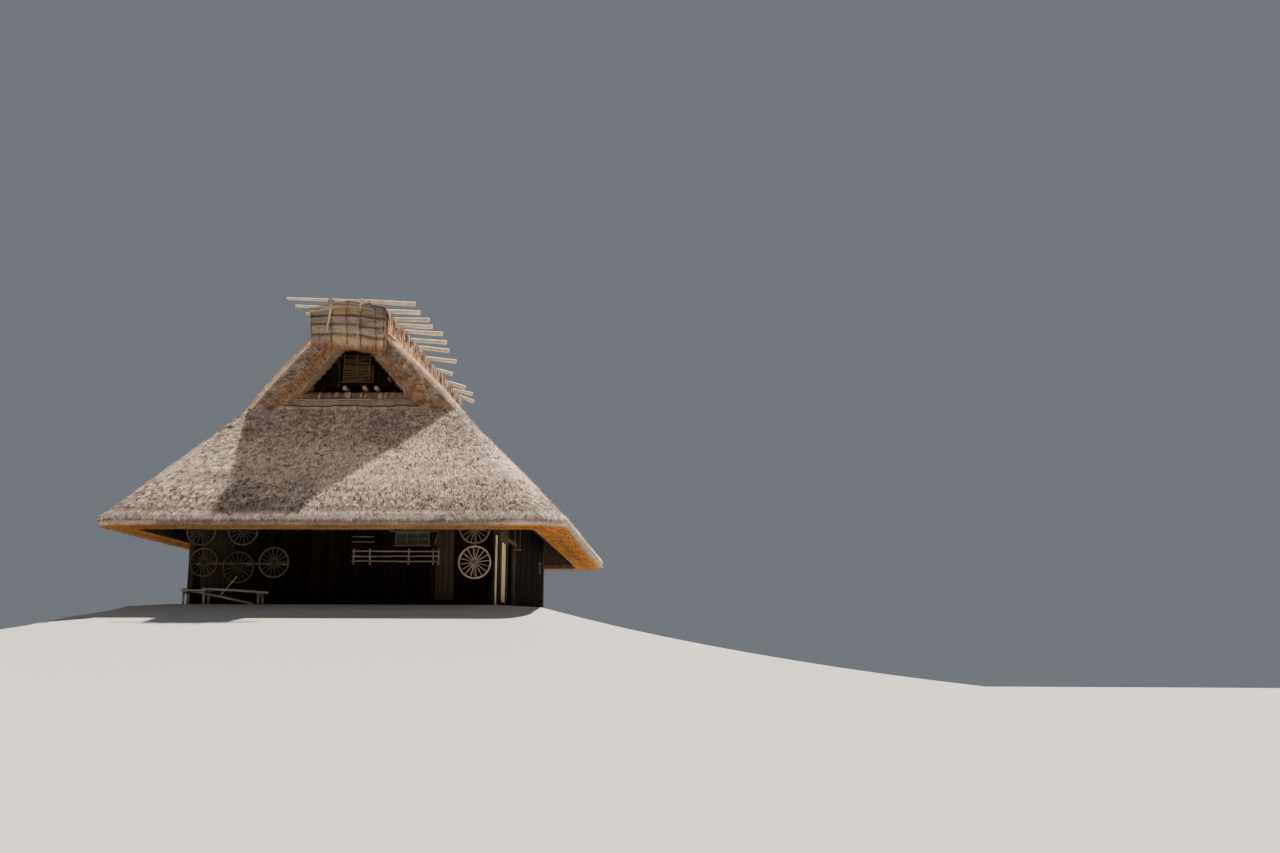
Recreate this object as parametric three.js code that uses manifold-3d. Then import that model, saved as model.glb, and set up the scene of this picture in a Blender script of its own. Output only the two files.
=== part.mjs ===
// A minka farmhouse: board walls under a hip-and-gable roof of thick thatch.
// Millimetres, +Z up. X runs across the gable end, Y from the front gable to the back one.
// The origin is on the ground under the middle of the house.
import * as THREE from 'three';
import { mergeVertices } from 'three/addons/utils/BufferGeometryUtils.js';
import Module from 'manifold-3d';

const wasm = await Module();
wasm.setup();

// Driving dimensions of the walls
const BODY_HALF_WIDTH = 5300;
const BODY_HALF_DEPTH = 7250;
const POST = 200;
const WALL_THICKNESS = 120;
const WALL_RECESS = 20;
const SILL_HEIGHT = 220;
const DOOR = { front: -4850, back: -2900, height: 2400 };

// Driving dimensions of the eaves: reach out from the wall face, and height
const EAVE_HEIGHT = 2440;
const EAVE_REACH_INNER = 1320;
const EAVE_REACH_OUTER = 2300;
const NOSE_REACH = 2510;
const NOSE_HEIGHT = 2840;
const CORNER_RADIUS = 1000;
const EAVE_BEVEL = { inset: 60, proud: 50, rise: 40 };
const NOSE_BEVEL = { inset: 30, drop: 140, back: 130 };
const SEAM = 0.3;

// Driving dimensions of the slopes. The side slopes rise at 45 degrees, and the end slopes are
// steeper, so that both reach the foot of the gable at one height.
const SIDE_OUTER_SUM = 10600;
const SIDE_INNER_SUM = 9440;
const SIDE_INNER_KINK_REACH = 300;
const THATCH_TOP_HALF_GAP = 550;
const GABLE_BASE = 6900;
const VERGE_FOOT_Y = 6800;
const VERGE_LEAN = 0.277;
const HIP_TOP_DEPTH = 1090;

// Driving dimensions of the ridge
const RIDGE_HALF_WIDTH = 1300;
const RIDGE_SHOULDER = 10110;
const RIDGE_PEAK = 10350;
const RIDGE_END_THICKNESS = 280;
const RIDGE_END_BOTTOM = 9000;
const BARK_THICKNESS = 60;
const BARK_OVERHANG = 60;
const LOG_DIAMETER = 160;
const LOG_KNEE = 1300;

// The ridge logs from the front to the back: place along the ridge, reach to the left and to the
// right of it, and the slopes in degrees of their left part, middle part and drooping right end
const LOGS = [
  { place: -7750, left: 2230, right: 2280, slopes: [2.7, 2.7, 2.7] },
  { place: -6600, left: 2250, right: 2230, slopes: [4, 3.6, 3.6] },
  { place: -5500, left: 2180, right: 2340, slopes: [4.2, 3.4, 2] },
  { place: -4650, left: 2250, right: 2310, slopes: [4, 3.9, 3.9] },
  { place: -3800, left: 2200, right: 2540, slopes: [4.6, 4.6, 4.6] },
  { place: -2400, left: 2250, right: 2440, slopes: [4.8, 4.8, 4.8] },
  { place: -1300, left: 2200, right: 2350, slopes: [6, 6.5, 6.5] },
  { place: 450, left: 2250, right: 2340, slopes: [6, 7.4, 7.4] },
  { place: 2450, left: 2100, right: 1850, slopes: [4, 10, 17] },
  { place: 4950, left: 2150, right: 1980, slopes: [5, 10, 18] },
  { place: 6650, left: 2100, right: 2030, slopes: [5, 9.5, 13] },
  { place: 7780, left: 2150, right: 1900, slopes: [4, 10, 16] },
];

// Driving dimensions of the roof timber
const RAFTER = 140;
const RAFTER_FOOT_REACH = 250;
const RAFTER_CROSSING = 260;
const FRAME_PLACES = [-5300, 0, 5300];
const PLATE_HEIGHT = 250;
const TIE_BEAM = 240;
const RIDGE_POLE = 200;
const RIDGE_POLE_END = 7000;
const COLLAR = { bottom: 7330, height: 220, width: 160, clear: 40 };
const LOFT_POLE = 190;
const LOFT_POLE_SINK = 25;
const LOFT_POLE_PLACES = [-340, 360, 780];
const LOFT_POLE_END = 6700;

// Driving dimensions of the gable walls
const GABLE_WALL_Y = 6270;
const GABLE_WALL_THICKNESS = 60;
const GABLE_WALL_TOP = 9080;
const GABLE_WALL_CLEAR = 12;
const SCREEN = { width: 980, bottom: 7940, height: 950, reeds: 9, reedShare: 0.6, reed: 24 };
const SCREEN_POST = { width: 50, depth: 40 };
const HIP_CAP = { height: 610, front: -6785, topFront: -6440, topBack: -6340, back: -5900 };
const HIP_RAIL = { size: 70, share: 0.09, sink: 14 };

// Driving dimensions of what hangs on the front wall
const WINDOW = { left: 1760, bottom: 2040, width: 1190, height: 460, columns: 3, rows: 2 };
const WINDOW_BAR = { width: 40, depth: 90, step: 5, sheet: 25 };
const RIGHT_WINDOW_START = 5200;
const LEFT_WINDOW_START = -1200;
const WHEEL = { rim: 85, depth: 90, hub: 190, hubDepth: 150 };
const SPOKE = { count: 8, size: 45, turn: 0.13 };
const RAIL = 60;
const RAIL_NOTCH = 5;
// Each wheel: its place across the wall, its height and its diameter
const LOWER_WHEELS = [[-4740, 1450, 1000], [-3540, 1285, 1090], [-2330, 1450, 1060]];
const UPPER_WHEELS = [[-4880, 2530, 1040], [-3440, 2540, 1050]];
const RIGHT_WHEELS = [[4510, 1470, 1130], [4490, 2620, 1070]];
const LOWER_BATTEN = [-5050, -1850, 1370, 1450];
const UPPER_BATTEN = [-5090, -2850, 2560, 2640];
const RIGHT_BATTEN = [4460, 4540, 1000, 3080];
const RACK = { left: 320, right: 3310, rails: [1500, 1670, 1840], posts: [370, 930, 2250, 3090, 3260] };
const RACK_POST = { width: 60, depth: 50, bottom: 1380, top: 1940 };
const RACK_RAIL = { height: 50, depth: 55, front: 100 };
const BENCH = { left: -5280, right: -4400, top: 500, board: 50, width: 670 };
const TRESTLE = { x: -2650, top: 390, rail: 80, railHeight: 60 };
const LEG = { size: 70, inset: 60 };
const SHAFT_SIZE = 90;
const SHAFTS = [
  { from: [-4630, -430, 535], to: [-2380, -370, 415] },
  { from: [-5350, -200, 535], to: [-2950, -200, 50] },
];

// Far beyond the house, for blocks that cut
const FAR = 12000;

const roofHalfWidth = BODY_HALF_WIDTH + NOSE_REACH;
const roofHalfDepth = BODY_HALF_DEPTH + NOSE_REACH;
const vergeFootX = SIDE_OUTER_SUM - GABLE_BASE;
const slant = Math.SQRT2;
const rafterUnderSum = SIDE_INNER_SUM - (RAFTER + 2 * SEAM) * slant;
const plateTop = rafterUnderSum - BODY_HALF_WIDTH;
const plateBottom = plateTop - PLATE_HEIGHT;

const house = new THREE.Group();

// Materials
function material(color, roughness, metalness = 0) {
  return new THREE.MeshStandardMaterial({ color, roughness, metalness });
}
const thatchColour = material(0x9a8a7c, 0.95);
const strawColour = material(0xa08055, 0.95);
const barkColour = material(0x6a5248, 0.9);
const logColour = material(0xb9af9a, 0.85);
const darkWood = material(0x3a2c24, 0.85);
const oldWood = material(0x6e5d4b, 0.85);
const smokedWood = material(0x4b382b, 0.8);
const reedColour = material(0x8a7a5e, 0.9);
const wheelColour = material(0x7a6a58, 0.85);

// Joining and cutting
function toSolid(geometry) {
  const bare = geometry.index ? geometry.toNonIndexed() : geometry.clone();
  bare.deleteAttribute('normal');
  bare.deleteAttribute('uv');
  const welded = mergeVertices(bare, 0.001);
  const mesh = new wasm.Mesh({
    numProp: 3,
    vertProperties: new Float32Array(welded.attributes.position.array),
    triVerts: new Uint32Array(welded.index.array),
  });
  return new wasm.Manifold(mesh);
}

function toGeometry(solid) {
  const mesh = solid.getMesh();
  const geometry = new THREE.BufferGeometry();
  geometry.setAttribute('position', new THREE.BufferAttribute(new Float32Array(mesh.vertProperties), 3));
  geometry.setIndex(new THREE.BufferAttribute(new Uint32Array(mesh.triVerts), 1));
  geometry.computeVertexNormals();
  return geometry;
}

function join(geometries) {
  return geometries.map(toSolid).reduce((whole, piece) => whole.add(piece));
}

function add(name, geometry, look) {
  const mesh = new THREE.Mesh(geometry, look);
  mesh.name = name;
  house.add(mesh);
  return mesh;
}

// Shapes
function outline(points) {
  return new THREE.Shape(points.map(([a, b]) => new THREE.Vector2(a, b)));
}

function drawOut(shape, depth) {
  return new THREE.ExtrudeGeometry(shape, { depth, bevelEnabled: false, curveSegments: 8 });
}

// A section drawn in X and Z, drawn out along Y
function alongY(shape, from, to) {
  const geometry = drawOut(shape, to - from);
  geometry.rotateX(Math.PI / 2);
  geometry.translate(0, to, 0);
  return geometry;
}

// A section drawn in Y and Z, drawn out along X
function alongX(shape, from, to) {
  const geometry = drawOut(shape, to - from);
  geometry.rotateY(Math.PI / 2);
  geometry.rotateX(Math.PI / 2);
  geometry.translate(from, 0, 0);
  return geometry;
}

// An outline drawn in plan, drawn out upwards
function upwards(shape, from, to) {
  const geometry = drawOut(shape, to - from);
  geometry.translate(0, 0, from);
  return geometry;
}

function box(x0, x1, y0, y1, z0, z1) {
  const geometry = new THREE.BoxGeometry(x1 - x0, y1 - y0, z1 - z0);
  geometry.translate((x0 + x1) / 2, (y0 + y1) / 2, (z0 + z1) / 2);
  return geometry;
}

// An eight-sided pole between two points, with flat faces towards `up` and to its sides
function pole(from, to, acrossFlats, up = new THREE.Vector3(0, 0, 1)) {
  const start = new THREE.Vector3(...from);
  const end = new THREE.Vector3(...to);
  const length = start.distanceTo(end);
  const radius = acrossFlats / 2 / Math.cos(Math.PI / 8);
  const geometry = new THREE.CylinderGeometry(radius, radius, length, 8, 1, false, Math.PI / 8);
  const along = end.clone().sub(start).normalize();
  const side = new THREE.Vector3().crossVectors(along, up).normalize();
  const normal = new THREE.Vector3().crossVectors(side, along);
  geometry.applyMatrix4(new THREE.Matrix4().makeBasis(side, along, normal));
  const middle = start.clone().add(end).multiplyScalar(0.5);
  geometry.translate(middle.x, middle.y, middle.z);
  return geometry;
}

// An eight-sided pole through several points from left to right, each section upright across X
function bentPole(middles, acrossFlats) {
  const radius = acrossFlats / 2 / Math.cos(Math.PI / 8);
  const parts = middles.length - 1;
  const geometry = new THREE.CylinderGeometry(radius, radius, parts, 8, parts, false, Math.PI / 8);
  const points = geometry.attributes.position;
  for (let i = 0; i < points.count; i += 1) {
    const [x, y, z] = middles[Math.round(points.getY(i) + parts / 2)];
    points.setXYZ(i, x, y - points.getX(i), z + points.getZ(i));
  }
  geometry.computeVertexNormals();
  return geometry;
}

// The section of a thatch slope: the eave, then the outer face up to its top, then the inner face
// down again. Points are given as distance from the middle of the house, and height.
function thatchSection(face, noseBack, outerTop, innerTop, innerKink) {
  const eave = face + EAVE_REACH_OUTER;
  const nose = face + NOSE_REACH;
  return outline([
    [face + EAVE_REACH_INNER, EAVE_HEIGHT],
    [eave - EAVE_BEVEL.inset, EAVE_HEIGHT],
    [eave + EAVE_BEVEL.proud, EAVE_HEIGHT + EAVE_BEVEL.rise],
    [nose - NOSE_BEVEL.inset, NOSE_HEIGHT - NOSE_BEVEL.drop],
    [nose, NOSE_HEIGHT],
    [nose - noseBack, SIDE_OUTER_SUM - roofHalfWidth + NOSE_BEVEL.back],
    outerTop,
    innerTop,
    innerKink,
  ]);
}

// The plan of the whole roof, with rounded corners
function roofPlan() {
  const w = roofHalfWidth;
  const d = roofHalfDepth;
  const r = CORNER_RADIUS;
  const plan = new THREE.Shape();
  plan.moveTo(-w + r, -d);
  plan.lineTo(w - r, -d);
  plan.absarc(w - r, -d + r, r, -Math.PI / 2, 0);
  plan.lineTo(w, d - r);
  plan.absarc(w - r, d - r, r, 0, Math.PI / 2);
  plan.lineTo(-w + r, d);
  plan.absarc(-w + r, d - r, r, Math.PI / 2, Math.PI);
  plan.lineTo(-w, -d + r);
  plan.absarc(-w + r, -d + r, r, Math.PI, Math.PI * 1.5);
  return plan;
}

const roofBlock = toSolid(upwards(roofPlan(), 0, FAR));

// The space between the two leaning planes of the verges, `out` beyond them
function betweenVerges(bottom, top, out) {
  const foot = VERGE_FOOT_Y + (bottom - GABLE_BASE) * VERGE_LEAN + out;
  const head = VERGE_FOOT_Y + (top - GABLE_BASE) * VERGE_LEAN + out;
  return toSolid(alongX(outline([[-foot, bottom], [foot, bottom], [head, top], [-head, top]]), -FAR, FAR));
}

// The hip lines run in plan from the corner of the eaves to the foot of the verge, so this much
// sideways for each step towards the gable
const hipRun = (roofHalfWidth - vergeFootX) / (roofHalfDepth - VERGE_FOOT_Y);

// The vertical block that a mitred slope keeps within, pulled off the hip lines by the seam
function mitrePlan(forSide) {
  const innerY = VERGE_FOOT_Y - vergeFootX / hipRun;
  const cornerX = (FAR - innerY) * hipRun;
  if (forSide) {
    return outline([[SEAM, -innerY], [cornerX + SEAM, -FAR], [cornerX + SEAM, FAR], [SEAM, innerY]]);
  }
  return outline([[SEAM - cornerX, -FAR], [cornerX - SEAM, -FAR], [0, -innerY - SEAM / hipRun]]);
}

// A side slope: mitred to the hips below the gables, and running out over them above
function sideThatch() {
  const top = THATCH_TOP_HALF_GAP;
  const kink = BODY_HALF_WIDTH + SIDE_INNER_KINK_REACH;
  const section = thatchSection(
    BODY_HALF_WIDTH,
    NOSE_BEVEL.back,
    [top, SIDE_OUTER_SUM - top],
    [top, SIDE_INNER_SUM - top],
    [kink, SIDE_INNER_SUM - kink],
  );
  const slab = toSolid(alongY(section, -FAR, FAR));
  const lower = slab.intersect(toSolid(upwards(mitrePlan(true), 0, GABLE_BASE))).intersect(roofBlock);
  const upper = slab.intersect(betweenVerges(GABLE_BASE, FAR, 0));
  return toGeometry(lower.add(upper));
}

// An end slope: a hip that stops at the foot of the gable
function endThatch() {
  const section = thatchSection(
    BODY_HALF_DEPTH,
    NOSE_BEVEL.back / hipRun,
    [VERGE_FOOT_Y, GABLE_BASE],
    [VERGE_FOOT_Y - HIP_TOP_DEPTH, GABLE_BASE],
    [BODY_HALF_DEPTH, plateTop + SEAM],
  );
  const geometry = alongY(section, -FAR, FAR);
  geometry.rotateZ(-Math.PI / 2);
  const below = toSolid(upwards(mitrePlan(false), 0, GABLE_BASE - SEAM));
  return toGeometry(toSolid(geometry).intersect(below).intersect(roofBlock));
}

const side = sideThatch();
add('thatch_right', side, thatchColour);
add('thatch_left', side, thatchColour).rotation.z = Math.PI;
const hip = endThatch();
add('thatch_front', hip, thatchColour);
add('thatch_back', hip, thatchColour).rotation.z = Math.PI;

// The straw body of the ridge, saddled over the two slopes
function ridgeCover() {
  const under = SEAM * slant;
  const gap = THATCH_TOP_HALF_GAP;
  const side = RIDGE_HALF_WIDTH;
  const section = outline([
    [side, SIDE_OUTER_SUM - side + under],
    [side, RIDGE_SHOULDER],
    [0, RIDGE_PEAK],
    [-side, RIDGE_SHOULDER],
    [-side, SIDE_OUTER_SUM - side + under],
    [-gap, SIDE_OUTER_SUM - gap + under],
    [gap, SIDE_OUTER_SUM - gap + under],
  ]);
  const bar = toSolid(alongY(section, -FAR, FAR));
  return toGeometry(bar.intersect(betweenVerges(GABLE_BASE, FAR, -SEAM)));
}

// The mat that closes one end of the ridge, leaning out like the verge
function ridgeEnd() {
  const section = outline([
    [RIDGE_HALF_WIDTH, RIDGE_END_BOTTOM],
    [RIDGE_HALF_WIDTH, RIDGE_SHOULDER],
    [0, RIDGE_PEAK],
    [-RIDGE_HALF_WIDTH, RIDGE_SHOULDER],
    [-RIDGE_HALF_WIDTH, RIDGE_END_BOTTOM],
  ]);
  const bar = toSolid(alongY(section, -FAR, -VERGE_FOOT_Y));
  const outside = betweenVerges(GABLE_BASE, FAR, RIDGE_END_THICKNESS);
  const inside = betweenVerges(0, FAR, SEAM);
  return toGeometry(bar.intersect(outside).subtract(inside));
}

add('ridge_cover', ridgeCover(), strawColour);
const end = ridgeEnd();
add('ridge_end_front', end, strawColour);
add('ridge_end_back', end, strawColour).rotation.z = Math.PI;

// The bark cap lies on the straw and both end mats
function ridgeCap() {
  const half = RIDGE_HALF_WIDTH + BARK_OVERHANG;
  const edge = RIDGE_PEAK - (half * (RIDGE_PEAK - RIDGE_SHOULDER)) / RIDGE_HALF_WIDTH;
  const cap = outline([
    [half, edge + SEAM],
    [half, edge + BARK_THICKNESS],
    [0, RIDGE_PEAK + BARK_THICKNESS],
    [-half, edge + BARK_THICKNESS],
    [-half, edge + SEAM],
    [0, RIDGE_PEAK + SEAM],
  ]);
  const bar = toSolid(alongY(cap, -FAR, FAR));
  return toGeometry(bar.intersect(betweenVerges(GABLE_BASE, FAR, RIDGE_END_THICKNESS)));
}

add('ridge_cap', ridgeCap(), barkColour);

// The logs that hold the cap down lie across its peak, and most slope down to the right
function ridgeLog({ place, left, right, slopes }) {
  const [leftFall, fall, endFall] = slopes.map((angle) => Math.tan(THREE.MathUtils.degToRad(angle)));
  const level = RIDGE_PEAK + BARK_THICKNESS + SEAM + LOG_DIAMETER / 2;
  const kneeLevel = level - LOG_KNEE * fall;
  const middles = [
    [-left, place, level + left * leftFall],
    [0, place, level],
    [LOG_KNEE, place, kneeLevel],
    [right, place, kneeLevel - (right - LOG_KNEE) * endFall],
  ];
  return bentPole(middles, LOG_DIAMETER);
}

LOGS.forEach((log, index) => {
  add(`ridge_log_${String(index + 1).padStart(2, '0')}`, ridgeLog(log), logColour);
});

// Roof timber: crossed rafters, ridge pole and tie beams
FRAME_PLACES.forEach((y, index) => {
  const number = index + 1;
  const axisSum = SIDE_INNER_SUM - (RAFTER / 2 + SEAM) * slant;
  const foot = BODY_HALF_WIDTH + RAFTER_FOOT_REACH;
  const head = -RAFTER_CROSSING;
  for (const [name, sign] of [['right', 1], ['left', -1]]) {
    const place = y - sign * (RAFTER / 2 + SEAM / 2);
    const up = new THREE.Vector3(sign, 0, 1).normalize();
    const rafter = pole(
      [sign * foot, place, axisSum - foot],
      [sign * head, place, axisSum - head],
      RAFTER,
      up,
    );
    add(`rafter_${name}_${number}`, rafter, smokedWood);
  }
  const inner = BODY_HALF_WIDTH - POST;
  add(
    `tie_beam_${number}`,
    box(-inner, inner, y - TIE_BEAM / 2, y + TIE_BEAM / 2, plateTop - TIE_BEAM, plateTop),
    smokedWood,
  );
});

// The ridge pole lies in the crook of the crossed rafters
const ridgePoleHeight = SIDE_INNER_SUM - SEAM * slant + (RIDGE_POLE / 2 + SEAM) * slant;
add(
  'ridge_pole',
  pole([0, -RIDGE_POLE_END, ridgePoleHeight], [0, RIDGE_POLE_END, ridgePoleHeight], RIDGE_POLE),
  smokedWood,
);

// Loft poles whose ends show in the gables, on two collar beams
const loftPoleTop = COLLAR.bottom + COLLAR.height - LOFT_POLE_SINK + LOFT_POLE;

function loftPoles() {
  const pieces = [];
  const axis = loftPoleTop - LOFT_POLE / 2;
  for (const x of LOFT_POLE_PLACES) {
    pieces.push(pole([x, -LOFT_POLE_END, axis], [x, LOFT_POLE_END, axis], LOFT_POLE));
  }
  for (const sign of [-1, 1]) {
    const far = FRAME_PLACES[2] - RAFTER - 2 * SEAM;
    const near = far - COLLAR.width;
    const half = SIDE_INNER_SUM - COLLAR.bottom - COLLAR.height - COLLAR.clear;
    const from = Math.min(sign * far, sign * near);
    const to = Math.max(sign * far, sign * near);
    pieces.push(box(-half, half, from, to, COLLAR.bottom, COLLAR.bottom + COLLAR.height));
  }
  return toGeometry(join(pieces));
}

add('loft_poles', loftPoles(), smokedWood);

// Corner posts and wall plates
const corners = [
  ['front_left', -1, -1],
  ['front_right', 1, -1],
  ['back_left', -1, 1],
  ['back_right', 1, 1],
];
for (const [name, sx, sy] of corners) {
  const x = sx * (BODY_HALF_WIDTH - POST / 2);
  const y = sy * (BODY_HALF_DEPTH - POST / 2);
  const half = POST / 2;
  add(`corner_post_${name}`, box(x - half, x + half, y - half, y + half, 0, plateBottom), oldWood);
}

for (const [name, sign] of [['front', -1], ['back', 1]]) {
  const y = sign * (BODY_HALF_DEPTH - POST / 2);
  const half = POST / 2;
  add(
    `wall_plate_${name}`,
    box(-BODY_HALF_WIDTH, BODY_HALF_WIDTH, y - half, y + half, plateBottom, plateTop),
    smokedWood,
  );
}

for (const [name, sign] of [['left', -1], ['right', 1]]) {
  const x = sign * (BODY_HALF_WIDTH - POST / 2);
  const half = POST / 2;
  const reach = BODY_HALF_DEPTH - POST;
  add(`wall_plate_${name}`, box(x - half, x + half, -reach, reach, plateBottom, plateTop), smokedWood);
}

// Board walls. Each is drawn in its own plane, from its left end seen from outside, with window
// holes, and a sill along its foot.
function wallPanel(length, bottom, holes) {
  let panel = toSolid(box(0, length, WALL_RECESS, WALL_RECESS + WALL_THICKNESS, bottom, plateBottom));
  if (bottom === 0) {
    panel = panel.add(toSolid(box(0, length, 0, POST - WALL_RECESS, 0, SILL_HEIGHT)));
  }
  for (const [x, z, width, height] of holes) {
    panel = panel.subtract(toSolid(box(x, x + width, -POST, POST, z, z + height)));
  }
  return toGeometry(panel);
}

function placeWall(name, side, from, to, bottom, holes) {
  const mesh = add(name, wallPanel(to - from, bottom, holes), darkWood);
  setOnWall(mesh, side, from);
}

// Puts a piece that is drawn in a wall's own plane on that side of the house
function setOnWall(mesh, side, start) {
  if (side === 'front') {
    mesh.position.set(start, -BODY_HALF_DEPTH, 0);
  } else if (side === 'right') {
    mesh.rotation.z = Math.PI / 2;
    mesh.position.set(BODY_HALF_WIDTH, start, 0);
  } else if (side === 'back') {
    mesh.rotation.z = Math.PI;
    mesh.position.set(-start, BODY_HALF_DEPTH, 0);
  } else {
    mesh.rotation.z = -Math.PI / 2;
    mesh.position.set(-BODY_HALF_WIDTH, -start, 0);
  }
}

const wallHalfX = BODY_HALF_WIDTH - POST;
const wallHalfY = BODY_HALF_DEPTH - POST;
const windowPlaces = [
  ['front_window', 'front_wall', 'front', -wallHalfX, wallHalfX, WINDOW.left],
  ['right_window', 'right_wall_back', 'right', DOOR.back, wallHalfY, RIGHT_WINDOW_START],
  ['back_window', 'back_wall', 'back', -wallHalfX, wallHalfX, WINDOW.left],
  ['left_window', 'left_wall', 'left', -wallHalfY, wallHalfY, LEFT_WINDOW_START],
];

// A lattice window: level and upright bars, closed behind by one thin sheet
function latticeWindow() {
  const { width, height, columns, rows } = WINDOW;
  const { width: bar, depth, step, sheet } = WINDOW_BAR;
  const right = width - SEAM;
  const top = height - SEAM;
  const pieces = [box(bar / 2, width - bar / 2, depth - sheet, depth, bar / 2, height - bar / 2)];
  for (let column = 0; column <= columns; column += 1) {
    const x = SEAM + ((right - SEAM - bar) * column) / columns;
    pieces.push(box(x, x + bar, 0, depth, SEAM, top));
  }
  for (let row = 0; row <= rows; row += 1) {
    const z = SEAM + ((top - SEAM - bar) * row) / rows;
    pieces.push(box(SEAM, right, step, depth - step, z, z + bar));
  }
  return toGeometry(join(pieces));
}

for (const [name, wall, side, from, to, place] of windowPlaces) {
  placeWall(wall, side, from, to, 0, [[place - from, WINDOW.bottom, WINDOW.width, WINDOW.height]]);
  const mesh = add(name, latticeWindow(), oldWood);
  setOnWall(mesh, side, place);
  mesh.position.z = WINDOW.bottom;
  mesh.translateY(WALL_RECESS + WINDOW_BAR.step);
}

placeWall('right_wall_front', 'right', -wallHalfY, DOOR.front, 0, []);
placeWall('right_wall_over_door', 'right', DOOR.front, DOOR.back, DOOR.height, []);

// A gable wall: boards beside and over the reed screen, standing on the loft poles
function gableWall() {
  const bottom = loftPoleTop + SEAM;
  const sum = SIDE_INNER_SUM - GABLE_WALL_CLEAR;
  const shape = outline([
    [bottom - sum, bottom],
    [sum - bottom, bottom],
    [sum - GABLE_WALL_TOP, GABLE_WALL_TOP],
    [GABLE_WALL_TOP - sum, GABLE_WALL_TOP],
  ]);
  const half = SCREEN.width / 2;
  const boards = toSolid(alongY(shape, -GABLE_WALL_Y - GABLE_WALL_THICKNESS, -GABLE_WALL_Y));
  const hole = toSolid(box(-half, half, -FAR, 0, SCREEN.bottom, SCREEN.bottom + SCREEN.height));
  return toGeometry(boards.subtract(hole));
}

// The reed screen: level reeds on three uprights
function reedScreen() {
  const { width, bottom, height, reeds, reedShare, reed } = SCREEN;
  const { width: post, depth } = SCREEN_POST;
  const top = bottom + height;
  const half = width / 2 - SEAM;
  const y = -GABLE_WALL_Y - GABLE_WALL_THICKNESS / 2;
  const pieces = [];
  for (const x of [-half, -post / 2, half - post]) {
    pieces.push(box(x, x + post, y - depth / 2, y + depth / 2, bottom + SEAM, top - SEAM));
  }
  const step = height / reeds;
  const thick = (step * reedShare) / 2;
  for (let i = 0; i < reeds; i += 1) {
    const z = bottom + step * (i + 0.5);
    pieces.push(box(post / 2 - half, half - post / 2, y - reed / 2, y + reed / 2, z - thick, z + thick));
  }
  return toGeometry(join(pieces));
}

// The straw roll on top of the hip, under the gable wall, with a bamboo rail along its foot
function hipCap() {
  const { height, front, topFront, topBack, back } = HIP_CAP;
  const top = GABLE_BASE + height;
  const sum = SIDE_INNER_SUM - 2 * SEAM;
  const section = outline([[front, GABLE_BASE], [back, GABLE_BASE], [topBack, top], [topFront, top]]);
  const footHalf = sum - GABLE_BASE;
  const topHalf = sum - top;
  const within = outline([[-footHalf, GABLE_BASE], [footHalf, GABLE_BASE], [topHalf, top], [-topHalf, top]]);
  const roll = toSolid(alongX(section, -FAR, FAR)).intersect(toSolid(alongY(within, -FAR, 0)));
  const level = GABLE_BASE + height * HIP_RAIL.share;
  const reach = sum - level - HIP_RAIL.size;
  const y = front + (topFront - front) * HIP_RAIL.share - HIP_RAIL.sink;
  const rail = toSolid(pole([-reach, y, level], [reach, y, level], HIP_RAIL.size));
  return toGeometry(roll.add(rail));
}

for (const [name, turn] of [['front', 0], ['back', Math.PI]]) {
  add(`gable_wall_${name}`, gableWall(), darkWood).rotation.z = turn;
  add(`gable_screen_${name}`, reedScreen(), reedColour).rotation.z = turn;
  add(`hip_cap_${name}`, hipCap(), barkColour).rotation.z = turn;
}

// Cart wheels, on the battens that carry them
const boardFace = -BODY_HALF_DEPTH + WALL_RECESS;

function wheel(x, z, diameter) {
  const { depth, hub, hubDepth } = WHEEL;
  const radius = diameter / 2;
  const back = boardFace - RAIL + RAIL_NOTCH;
  const rimShape = new THREE.Shape();
  rimShape.absarc(0, 0, radius, 0, Math.PI * 2);
  const inner = new THREE.Path();
  inner.absarc(0, 0, radius - WHEEL.rim, 0, Math.PI * 2, true);
  rimShape.holes.push(inner);
  const rim = alongY(rimShape, back - depth, back);
  rim.translate(x, 0, z);
  const pieces = [rim, pole([x, back - hubDepth, z], [x, back, z], hub)];
  const reach = radius - WHEEL.rim / 2;
  for (let i = 0; i < SPOKE.count / 2; i += 1) {
    const bar = new THREE.BoxGeometry(reach * 2, SPOKE.size, SPOKE.size);
    bar.rotateY((i * 2 * Math.PI) / SPOKE.count + SPOKE.turn);
    bar.translate(x, back - depth / 2, z);
    pieces.push(bar);
  }
  return pieces;
}

function hangWheels(name, batten, places) {
  const [left, right, bottom, top] = batten;
  const pieces = [box(left, right, boardFace - RAIL, boardFace, bottom, top)];
  for (const place of places) {
    pieces.push(...wheel(...place));
  }
  add(name, toGeometry(join(pieces)), wheelColour);
}

hangWheels('wheels_left_lower', LOWER_BATTEN, LOWER_WHEELS);
hangWheels('wheels_left_upper', UPPER_BATTEN, UPPER_WHEELS);
hangWheels('wheels_right', RIGHT_BATTEN, RIGHT_WHEELS);

// The long rack on the front wall
function wallRack() {
  const { width, depth, bottom, top } = RACK_POST;
  const front = boardFace - RACK_RAIL.front;
  const back = front + RACK_RAIL.depth;
  const pieces = [];
  for (const z of RACK.rails) {
    pieces.push(box(RACK.left, RACK.right, front, back, z - RACK_RAIL.height / 2, z + RACK_RAIL.height / 2));
  }
  for (const x of RACK.posts) {
    pieces.push(box(x - width / 2, x + width / 2, boardFace - depth, boardFace, bottom, top));
  }
  return toGeometry(join(pieces));
}

add('wall_rack', wallRack(), oldWood);

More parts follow.
